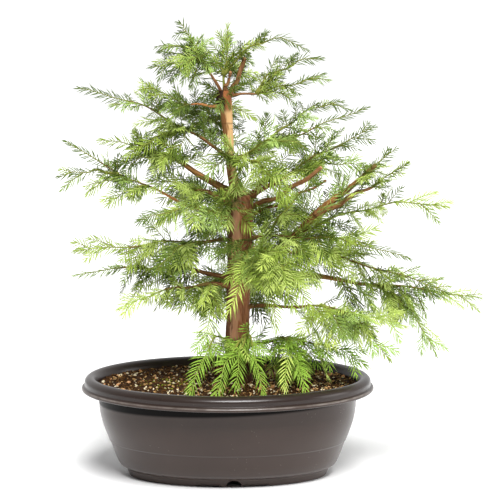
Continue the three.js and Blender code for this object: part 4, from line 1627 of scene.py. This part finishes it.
@dataclass
class Foliage:
    """Sprays that branch from each limb by its seeded rule, carried on to finer feathers."""

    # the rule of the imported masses
    spacing: float = 17.0
    lean: float = 54.0
    lean_jitter: float = 14.0
    roll_jitter: float = 64.0
    lift: float = 58.0
    droop: float = 0.16
    tip_share: float = 0.58
    length_jitter: float = 0.36
    twist: float = 75.0
    tail_twist: Pair = (32.0, 62.0)
    tail_needle: Pair = (0.95, 0.64)  # share of the longest needle, near the trunk and far out
    tail_draw: float = 0.55  # under 1, a limb's end is seldom of the lightest tones
    tail_stout: float = 0.7
    spray_stout: float = 0.62
    sprout_zones: tuple[tuple[float, float, int], ...] = (
        (381.0, 397.0, 16), (262.0, 298.0, 18), (224.0, 250.0, 7))
    sprout_seed: int = 900
    sprout_length: Pair = (12.0, 30.0)
    sprout_rise: Pair = (-0.5, 0.9)
    sprout_needle: float = 0.8
    sprout_scatter: float = 0.6
    sprout_sunk: float = 1.0
    sprout_twist: float = 6.0
    sprout_draw: float = 0.6
    # what is finer here
    path_points: int = 8
    needles_most: int = 15000  # in one piece
    fine_out: Pair = (70.0, 210.0)  # distances from the trunk over which it grows finer
    fine_high: Pair = (290.0, 380.0)  # heights over which it does
    fine_top: float = 0.8
    # of each pair below, the first is near the trunk and the other is far out or high up
    needle_pitch: Pair = (2.95, 2.6)
    needle_length: Pair = (17.0, 12.8)
    needle_width: Pair = (1.24, 0.96)
    needle_least: float = 0.45  # the share that the needles of the shortest spray have
    needle_gain: float = 70.0  # the length over which that grows by a whole
    short_gain: float = 2.0  # a short spray's needles are those of one this much longer
    lift_jitter: Pair = (0.1, 0.24)
    # degrees off the twig and sizes, at shares of a spray's length
    splay_shares: tuple[float, ...] = (0.0, 0.25, 0.8, 1.0)
    splays: tuple[Numbers, Numbers] = (np.array([66, 58, 42, 26]), np.array([60, 46, 28, 14]))
    size_shares: tuple[float, ...] = (0.0, 0.1, 0.3, 0.6, 0.85, 1.0)
    sizes: tuple[Numbers, Numbers] = (
        np.array([0.55, 0.85, 1.0, 0.98, 0.86, 0.66]), np.array([0.5, 0.8, 1.0, 0.86, 0.62, 0.5]))
    splay_jitter: float = 6.0
    size_jitter: Pair = (0.84, 1.1)
    needle_start: float = 0.6
    needle_shift: float = 0.15
    needle_lift: float = -0.04
    needle_thick: float = 0.28
    needle_curl: float = 0.14
    needle_sag: Pair = (0.02, 0.22)
    rows: tuple[Row, ...] = (
        Row(0.7, 1.0, 0, 0.0), Row(0.2, 0.9, 200, 0.55), Row(0.45, 0.72, 400, 0.9), Row(0.95, 0.8, 600, 0.3),
        Row(0.33, 0.45, 800, -0.2),
    )
    salt_step: int = 200
    tail_salt: int = 800
    hang_heights: Pair = (322.0, 252.0)  # sprays begin to hang at the first and hang fully at the other
    foot_hang: float = 0.4
    foot_heights: Pair = (215.0, 155.0)  # and hang more here
    branch_spacing: Pair = (13.0, 9.0)
    branch_lean: float = 36.0
    branch_lean_jitter: float = 16.0
    branch_lift: float = 0.5
    branch_reach: Pair = (0.26, 0.36)  # shares of the spray's length at its end, and more at its root
    branch_jitter: Pair = (0.75, 1.25)
    branch_first: float = 0.2
    branch_span: float = 0.62
    branch_same: float = 0.6  # the share of side feathers that keep their spray's tone
    branch_needle: float = 0.85
    branch_share: float = 0.66  # of a spray's length, where its side feathers stand
    branch_from: float = 26.0
    branch_none: Pair = (0.55, 0.12)
    tuft_spacing: float = 13.0
    tuft_length: Pair = (14.0, 30.0)
    tuft_none: float = 0.35
    tuft_ahead: float = 0.7
    fuzzy_limbs: tuple[str, ...] = ("right_big", "right_big_fork", "left_high")
    fuzzy_spacing: float = 7.0
    fuzzy_length: Pair = (22.0, 38.0)
    bare_limbs: tuple[str, ...] = ("left_long", "left_top", "crown_right", "right_long")
    lime_limbs: tuple[str, ...] = ("base_right_front", "front_drape")
    plain_limbs: tuple[str, ...] = (
        "base_left", "base_front", "base_front_low", "front_low", "base_right_front", "base_right_side",
        "front_drape", "front_spray",
    )
    crown_reach: float = 200.0
    front_reach: float = 110.0
    middle_height: float = 270.0
    low_reach: float = 160.0
    shade: float = -0.6  # the most that the back or the top is painted darker as shade, where 1 is the most it is painted lighter
    tone_middle: float = 0.41
    tone_weights: Triple = (0.06, 0.22, 0.16)  # how much lighter it is far out, where tips are fresher, and, as painted light, in front and low down
    tone_scatter: float = 0.8
    tone_steps: Triple = (0.3, 0.56, 0.88)  # scores from which a spray is leaf, fresh and lime
    patch: float = 42.0  # how wide a cool patch of the crown is
    patch_share: float = 0.06  # noise level above which a place is in such a patch
    fresh_tones: tuple[Tone, ...] = (Tone.FRESH, Tone.LIME, Tone.GRASS, Tone.MINT)  # with green twigs
    lime_within: float = 0.72  # how far out, as a share of the crown, lime sprays stand
    grass_below: float = 156.0  # height under which the shoots are grassier, and the deepest are painted a tone lighter
    greens: dict[Tone, tuple[int, int, int]] = field(default_factory=lambda: {
        Tone.DEEP: (92, 115, 40),
        Tone.LEAF: (154, 177, 72),
        Tone.FRESH: (188, 207, 110),
        Tone.LIME: (202, 222, 110),
        Tone.GRASS: (154, 192, 72),
        Tone.SAGE: (140, 166, 80),
        Tone.MINT: (174, 202, 110),
    })
    stem_overlap: float = 0.02
    twig_rings: int = 6
    twig_sides: int = 4
    twig_taper: float = 0.62
    shoots: list[Shoot] = field(default_factory=list)

    def fineness(self, place: Numbers) -> float:
        """How finely the foliage is divided: 0 in front of the trunk, 1 far out or high up."""
        out = smooth_step(*self.fine_out, math.hypot(place[0] - TRUNK_X, place[1]))
        return float(max(out, self.fine_top * smooth_step(*self.fine_high, place[2])))

    def needle_at(self, place: Numbers, length: float) -> float:
        """The longest needle of a spray of some length at a place."""
        share = min(1.0, self.needle_least + length / self.needle_gain)
        return between(*self.needle_length, self.fineness(place)) * share

    def tone_at(self, place: Numbers, draw: float, lighter: int = 0) -> Tone:
        """The green of a spray: lighter far out, where tips are fresher, and painted lighter lower down and
        to the front and darker at the back and the top, as painted light and shade.

        Args:
            place: Where the spray is rooted.
            draw: The spray's own draw, from 0 to 1.
            lighter: How many tones to lighten it by.

        Returns:
            The tone.
        """
        out = math.hypot(place[0] - TRUNK_X, place[1]) / self.crown_reach
        front = np.clip(-place[1] / self.front_reach, self.shade, 1)
        low = np.clip((self.middle_height - place[2]) / self.low_reach, self.shade, 1)
        # painted light to the front and low down, painted shade at the back and the top
        shift = np.dot(self.tone_weights, (out, front, low))
        score = self.tone_middle + shift + self.tone_scatter * (draw - 0.5)
        most = Tone.LIME if out < self.lime_within else Tone.FRESH
        return Tone(int(min(np.searchsorted(self.tone_steps, score) + lighter, most.value)))

    def dealt_tone(self, shoot: Shoot) -> Tone:
        """The green that a shoot wears.

        Args:
            shoot: The shoot.

        Returns:
            Its own tone; or over the soil a grassier one, with the deepest painted a tone lighter as painted
            light in the shade there; or a cooler one in a cool patch.
        """
        root = shoot.path[0]
        changes: dict[Tone, Tone] = {}
        if root[2] < self.grass_below:
            # low over the soil: deep painted a tone lighter as painted light in the shade there, leaf and
            # fresh grassier
            changes = {Tone.DEEP: Tone.LEAF, Tone.LEAF: Tone.GRASS, Tone.FRESH: Tone.GRASS}
        elif noise.noise(Vector(root / self.patch)) > self.patch_share:
            changes = {Tone.LEAF: Tone.SAGE, Tone.FRESH: Tone.MINT}
        return changes.get(shoot.tone, shoot.tone)

    def spray(self, root: Numbers, heading: Numbers, length: float, twist: float, needle: float,
              draw: float) -> Shoot:
        """A side spray: straight out of its stem, then drooping.

        Args:
            root: Where it starts.
            heading: Which way it sets off.
            length: How long it is.
            twist: How far its face turns from lying flat, in radians.
            needle: Its longest needle.
            draw: Its own draw for the tone.

        Returns:
            The spray as a shoot.
        """
        s = np.linspace(0, 1, self.path_points)[:, None]
        path = root + heading * length * s - UP * self.droop * length * s * s
        return Shoot(path, twist, needle, self.tone_at(path[-1], draw), self.spray_stout)

    def rule_spray(self, limb: Limb, i: int, count: int, row: Row) -> Shoot:
        """One spray of a limb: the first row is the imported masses' own, and the others stand between.

        Args:
            limb: The limb.
            i: The spray's place in the row.
            count: How many the row has.
            row: The row.

        Returns:
            The shoot.
        """
        share = (i + row.shift) / count
        t = limb.bare + (limb.tail_start - limb.bare) * share
        along = limb.along(t)
        side = unit(np.cross(along, UP))
        top = np.cross(side, along)
        seed = limb.seed + row.salt
        lift = self.lift if i % 3 == 2 else 0
        roll = math.radians(swing(seed, i, Pick.ROLL) * self.roll_jitter + lift)
        lean = math.radians(self.lean + swing(seed, i, Pick.LEAN) * 2 * self.lean_jitter)
        hand = 1 if (i + row.salt // self.salt_step) % 2 == 0 else -1
        away = side * hand * math.cos(roll) + top * math.sin(roll)
        heading = along * math.cos(lean) + away * math.sin(lean)
        root = limb.point(t)
        hang = row.hang * float(smooth_step(*self.hang_heights, root[2]))
        hang += self.foot_hang * float(smooth_step(*self.foot_heights, root[2]))
        heading = unit(heading - UP * hang)
        taper = 1 + (self.tip_share - 1) * share
        jitter = 1 + swing(seed, i, Pick.LENGTH) * self.length_jitter
        length = limb.spray * taper * jitter * row.shrink
        twist = math.radians(self.twist * (2 * chance(seed, i, Pick.TWIST) - 1))
        return self.spray(root, heading, length, twist, self.needle_at(root, length),
                          chance(seed, i, Pick.TONE))

    def tufts(self, limb: Limb) -> list[Shoot]:
        """The short sprays that sprout from a limb's bough, on all but the limbs that are clean.

        Args:
            limb: The limb.

        Returns:
            The sprays, which may be none.
        """
        if limb.bare == 0 or limb.name in self.bare_limbs:
            return []
        made = []
        fuzzy = limb.name in self.fuzzy_limbs
        spacing = self.fuzzy_spacing if fuzzy else self.tuft_spacing
        count = int((limb.bare * limb.length - limb.socket) / spacing)
        for i in range(count):
            if not fuzzy and chance(limb.seed, i, Pick.TUFT) < self.tuft_none:
                continue
            run = limb.socket + (i + chance(limb.seed, i, Pick.TUFT_PLACE)) * spacing
            t = run / limb.length
            along = limb.along(t)
            side, face = face_frame(along)
            turn = (math.pi if fuzzy else 2 * math.pi) * chance(limb.seed, i, Pick.TUFT_TURN)
            away = side * math.cos(turn) + face * math.sin(turn)
            heading = unit(along * self.tuft_ahead + away)
            lengths = self.fuzzy_length if fuzzy else self.tuft_length
            length = between(*lengths, chance(limb.seed, i, Pick.TUFT_LENGTH))
            root = limb.point(t)
            needle = self.needle_at(root, self.short_gain * length)
            tone = chance(limb.seed, i, Pick.TUFT_TONE)
            made.append(self.spray(root, heading, length, turn, needle, tone))
        return made

    def sprouts(self, trunk: Trunk) -> list[Shoot]:
        """The short sprays that break straight from the trunk round its knuckles.

        Args:
            trunk: The trunk.

        Returns:
            The sprays.
        """
        made = []
        for seed, (low, high, count) in enumerate(self.sprout_zones, start=self.sprout_seed):
            for i in range(count):
                up, aside, rise, long, twist, tone = (chance(seed, i, j) for j in range(1, 7))
                height = between(low, high, up)
                turn = 2 * math.pi * (i + self.sprout_scatter * aside) / count
                away = np.array([math.cos(turn), math.sin(turn), 0.0])
                root = trunk.middle(height) + away * (float(trunk.radius(height)) - self.sprout_sunk)
                heading = unit(away + UP * between(*self.sprout_rise, rise))
                length = between(*self.sprout_length, long)
                needle = self.sprout_needle * self.needle_at(root, self.short_gain * length)
                twist, tone = self.sprout_twist * twist, self.sprout_draw * tone
                made.append(self.spray(root, heading, length, twist, needle, tone))
        return made

    def tail_shoot(self, limb: Limb) -> Shoot:
        """The limb's last spray, which is the end of the limb itself.

        Args:
            limb: The limb.

        Returns:
            The shoot.
        """
        path = limb.point(np.linspace(limb.tail_start, 1, self.path_points + 4))
        low, high = self.tail_twist
        turn = math.radians(low + (high - low) * chance(limb.seed, 0, Pick.TWIST))
        twist = -turn if limb.out[0] < 0 else turn
        lighter = Tone.LIME.value if limb.name in self.lime_limbs else 0
        tone = self.tone_at(path[-1], self.tail_draw * chance(limb.seed, 0, Pick.TAIL_TONE), lighter)
        needle = between(*self.tail_needle, self.fineness(path[-1])) * self.needle_length[0]
        return Shoot(path, twist, needle, tone, self.tail_stout)

    def branches(self, shoot: Shoot, seed: int, i: int) -> list[Shoot]:
        """The side feathers of a longer spray.

        Args:
            shoot: The spray.
            seed: The limb's number.
            i: The spray's place in the row.

        Returns:
            The feathers, which may be none.
        """
        length = shoot.length
        fine = self.fineness(shoot.path[0])
        if length < self.branch_from or chance(seed, i, Pick.BRANCHES) < between(*self.branch_none, fine):
            return []
        made = []
        count = int(length * self.branch_share / between(*self.branch_spacing, fine))
        along = tangents(shoot.path)
        side, face = face_frame(along, shoot.twist)
        for k in range(count):
            s = self.branch_first + self.branch_span * (k + 0.5) / count
            at = s * (len(shoot.path) - 1)
            near = int(at)
            root = shoot.path[near] + (shoot.path[near + 1] - shoot.path[near]) * (at - near)
            hand = 1 if (k + i) % 2 == 0 else -1
            jitter = self.branch_lean_jitter * swing(seed, i, Pick.SIDE_LEAN + k)
            lean = math.radians(self.branch_lean + jitter)
            lift = self.branch_lift * swing(seed, i, Pick.SIDE_LIFT + k)
            aside = side[near] * hand + face[near] * lift
            heading = unit(along[near] * math.cos(lean) + aside * math.sin(lean))
            least, more = self.branch_reach
            jitter = between(*self.branch_jitter, chance(seed, i, Pick.SIDE_LENGTH + k))
            reach = length * (least + more * (1 - s)) * jitter
            feather = self.spray(root, heading, reach, shoot.twist,
                                 self.branch_needle * self.needle_at(root, self.short_gain * reach), 0.0)
            lighter = chance(seed, i, Pick.SIDE_LIGHTER + k) > self.branch_same
            feather.tone = Tone(min(Tone.LIME.value, shoot.tone.value + lighter))
            made.append(feather)
        return made

    def grow(self, limbs: Sequence[Limb], trunk: Trunk) -> None:
        """Grows every limb's shoots and the trunk's own.

        Args:
            limbs: Every limb of the crown.
            trunk: The trunk.
        """
        for limb in limbs:
            if limb.bare == 1:
                continue
            stretch = (limb.tail_start - limb.bare) * limb.length
            count = max(2, round(stretch / self.spacing))
            tail = self.tail_shoot(limb)
            self.shoots.append(tail)
            plain = limb.name in self.plain_limbs
            if not plain:
                self.shoots += self.branches(tail, limb.seed + self.tail_salt, limb.seed)
            for i in range(count):
                for row in self.rows[:2] if plain else self.rows:
                    spray = self.rule_spray(limb, i, count, row)
                    self.shoots.append(spray)
                    self.shoots += self.branches(spray, limb.seed + row.salt, i)
            self.shoots += self.tufts(limb)
        self.shoots += self.sprouts(trunk)

    def needles_of(self, shoot: Shoot, draw: np.random.Generator) -> Numbers:
        """The needles of one shoot.

        Args:
            shoot: The shoot.
            draw: The seeded draws.

        Returns:
            The corners of every needle.
        """
        fine = self.fineness(shoot.path[-1])
        pairs = max(3, round(shoot.length / between(*self.needle_pitch, fine)))
        s = np.repeat((np.arange(pairs) + self.needle_start) / pairs, 2)
        s = np.clip(s + draw.normal(0, self.needle_shift / pairs, len(s)), 0, 1)
        hand = np.tile([1.0, -1.0], pairs)
        s, hand = np.append(s, 1.0), np.append(hand, 0.0)
        along = tangents(shoot.path)
        frame = face_frame(along, shoot.twist)
        root, along, side, face = (read_along(values, s) for values in (shoot.path, along, *frame))
        splay = np.interp(s, self.splay_shares, between(*self.splays, fine))
        splay = np.radians(splay + draw.normal(0, self.splay_jitter, len(s)))
        splay[-1] = 0.0
        lift = draw.normal(self.needle_lift, between(*self.lift_jitter, fine), len(s))[:, None]
        ahead, aside = np.cos(splay)[:, None], (hand * np.sin(splay))[:, None]
        reach = unit(along * ahead + side * aside + face * lift)
        flat = unit(face - reach * np.sum(face * reach, 1, keepdims=True))
        wide = np.cross(flat, reach)
        size = np.interp(s, self.size_shares, between(*self.sizes, fine))
        size = shoot.needle * size * draw.uniform(*self.size_jitter, len(s))
        blade = Template.needle().points
        x, y, z = blade[:, 0], blade[:, 1], blade[:, 2]
        bend = x * x * size[:, None]
        sag = draw.uniform(*self.needle_sag, len(s))[:, None]
        return (
            root[:, None] + reach[:, None] * (x * size[:, None])[..., None]
            + wide[:, None] * (y * between(*self.needle_width, fine))[None, :, None]
            + flat[:, None] * (z * self.needle_thick)[None, :, None]
            + along[:, None] * (self.needle_curl * bend)[..., None] - UP * (sag * bend)[..., None]
        )

    def twig_of(self, shoot: Shoot) -> Numbers:
        """One shoot's own twig.

        Args:
            shoot: The shoot.

        Returns:
            Its corners, ring by ring.
        """
        s = np.linspace(0, 1, self.twig_rings)
        path = read_along(shoot.path, s)
        side, face = face_frame(tangents(path))
        angle = angles_round(self.twig_sides)[None, :, None]
        radius = shoot.stout * (1 - self.twig_taper * s)
        offset = side[:, None] * np.cos(angle) + face[:, None] * np.sin(angle)
        return (path[:, None] + offset * radius[:, None, None]).reshape(-1, 3)

    def build(self, limbs: Sequence[Limb], trunk: Trunk, draw: np.random.Generator) -> None:
        """Grows the shoots and makes the needles and the twigs, each green apart.

        Args:
            limbs: Every limb of the crown.
            trunk: The trunk.
            draw: The seeded draws.
        """
        self.grow(limbs, trunk)
        heaps: dict[Tone, list[Numbers]] = {tone: [] for tone in Tone}
        for shoot in self.shoots:
            heaps[self.dealt_tone(shoot)].append(self.needles_of(shoot, draw))
        for tone, green in self.greens.items():
            corners = np.concatenate(heaps[tone])
            leaf = Leaf(f"needles_{tone.name.lower()}", srgb(*green))
            LOG.info("%s: %d needles", leaf.name, len(corners))
            material = leaf.build()
            parts = math.ceil(len(corners) / self.needles_most)
            for part, some in enumerate(np.array_split(corners, parts), start=1):
                install(Template.needle().repeated(some), f"{leaf.name}_{part}", material)
        self.build_twigs(limbs)

    def build_twigs(self, limbs: Sequence[Limb]) -> None:
        """Makes the shoots' twigs and the limbs' stems inside the foliage.

        Args:
            limbs: Every limb of the crown.
        """
        rod = Template.rod(self.twig_rings, self.twig_sides)
        barks = (
            Bark("twigs_olive", srgb(92, 102, 38), srgb(124, 132, 54), srgb(146, 140, 66), 700.0, 1.4, 0.6),
            Bark("twigs_green", srgb(120, 146, 52), srgb(150, 176, 70), srgb(168, 188, 84), 700.0, 1.4, 0.6),
        )
        for fresh, bark in enumerate(barks):
            rods = [self.twig_of(shoot) for shoot in self.shoots
                    if (self.dealt_tone(shoot) in self.fresh_tones) == fresh]
            install(rod.repeated(np.stack(rods)), bark.name, bark.build())
        brown = Bark("twigs_tan", srgb(84, 66, 32), srgb(122, 100, 52), srgb(150, 126, 72), 620.0, 1.8, 0.7)
        green = Bark(
            "stems_green", srgb(92, 98, 38), srgb(126, 134, 54), srgb(152, 150, 68), 620.0, 1.6, 0.6)
        masses = [name for name in FRAME["nodes"] if name.startswith("foliage_")]
        stems = Boughs(sides=7, step=4.0)
        for bark, woody, nodes in ((brown, True, masses), (green, False, [])):
            form = wood_form()
            for limb in limbs:
                if limb.bare < 1 and (limb.bare > 0) is woody:
                    stems.add(form, limb, limb.tail_start + self.stem_overlap)
            install(write_mesh(form), bark.name, bark.build(), nodes)


# ---------------------------------------------------------------- studio


def aim(thing: bpy.types.Object, way: Vector) -> None:
    """Turns a lamp or a camera to look one way."""
    thing.rotation_euler = way.to_track_quat("-Z", "Y").to_euler()


@dataclass
class Studio:
    """A pale floor, a bright room, a sun, a soft box and the camera. Lengths here are metres."""

    camera_place: Triple = (0.0236, -2.0, 0.490)
    camera_target: Triple = (0.0231, 0.0, 0.2345)
    width_at_target: float = 0.5137
    sensor: float = 36.0
    floor_size: float = 12.0
    floor_grey: float = 0.93
    floor_roughness: float = 0.9
    key_from: Triple = (0.12, -0.75, 1.0)
    key_light: float = 4.7
    key_softness: float = 26.0
    room_light: float = 0.84
    front_light: float = 0.1
    room_turn: Pair = (-0.5, 0.7)  # between which depths the front's light becomes the room's
    backdrop: float = 1.15
    box_place: Triple = (1.9, -0.3, 0.6)
    box_size: float = 1.0
    box_power: float = 12.0

    def build(self) -> None:
        """Sets up the floor, the lights and the camera."""
        self.build_floor()
        self.build_room()
        self.build_key()
        self.build_box()
        self.build_camera()

    def build_floor(self) -> None:
        """Lays the floor."""
        form = bmesh.new()
        bmesh.ops.create_grid(form, x_segments=1, y_segments=1, size=self.floor_size / 2 / MM)
        mesh = write_mesh(form)
        grey = (self.floor_grey, self.floor_grey, self.floor_grey, 1.0)
        mesh.materials.append(Finish("studio_floor").done(grey, self.floor_roughness))
        floor = hang("studio_floor", mesh)

    def build_room(self) -> None:
        """Fills the room with white light."""
        world = bpy.data.worlds.new("studio_room")
        world.use_nodes = True
        bench = Bench(world.node_tree)
        seen = bench.add("ShaderNodeLightPath").outputs["Is Camera Ray"]
        depth = bench.split(bench.add("ShaderNodeTexCoord").outputs["Generated"])["Y"]
        lit = bench.ramp(depth, *self.room_turn, self.front_light, self.room_light)
        shown = {0: seen, 2: lit, 3: self.backdrop}
        strength = bench.add("ShaderNodeMix", shown, data_type="FLOAT").outputs[0]
        light = bench.add("ShaderNodeBackground", {"Color": (1.0, 1.0, 1.0, 1.0), "Strength": strength})
        bench.add("ShaderNodeOutputWorld", {"Surface": light.outputs[0]})
        bpy.context.scene.world = world
        bpy.context.scene.view_settings.view_transform = "Standard"

    def build_key(self) -> None:
        """Lights everything evenly from above and in front, with soft shadows."""
        light = bpy.data.lights.new("studio_key", "SUN")
        light.energy = self.key_light
        light.angle = math.radians(self.key_softness)
        aim(hang(light.name, light), -Vector(self.key_from))

    def build_box(self) -> None:
        """Hangs one soft box that looks at the plant from its right."""
        light = bpy.data.lights.new("studio_side", "AREA")
        light.size = self.box_size
        light.energy = self.box_power
        lamp = hang(light.name, light)
        lamp.location = self.box_place
        aim(lamp, Vector(self.camera_target) - lamp.location)

    def build_camera(self) -> None:
        """Stands the camera in front, a little above the plant."""
        look = Vector(self.camera_target) - Vector(self.camera_place)
        lens = bpy.data.cameras.new("studio_camera")
        lens.sensor_width = self.sensor
        lens.lens = self.sensor * look.length / self.width_at_target
        camera = hang("studio_camera", lens)
        camera.location = self.camera_place
        aim(camera, look)
        bpy.context.scene.camera = camera


# ---------------------------------------------------------------- assembly

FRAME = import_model()


def main() -> None:
    """Builds every sub-assembly in order."""
    logging.basicConfig(level=logging.INFO, format="%(name)s %(message)s")
    draw = np.random.default_rng(SEED)
    trunk = Trunk()
    limbs: dict[str, Limb] = {}
    for number, limb in enumerate(crown_limbs(), start=1):
        limb.grow(number, trunk, limbs)
        limbs[limb.name] = limb
    Pot().build()
    Soil().build(draw)
    trunk.build()
    Boughs().build(list(limbs.values()))
    Scars().build(limbs)
    Foliage().build(list(limbs.values()), trunk, draw)
    Studio().build()


if __name__ == "__main__":
    main()
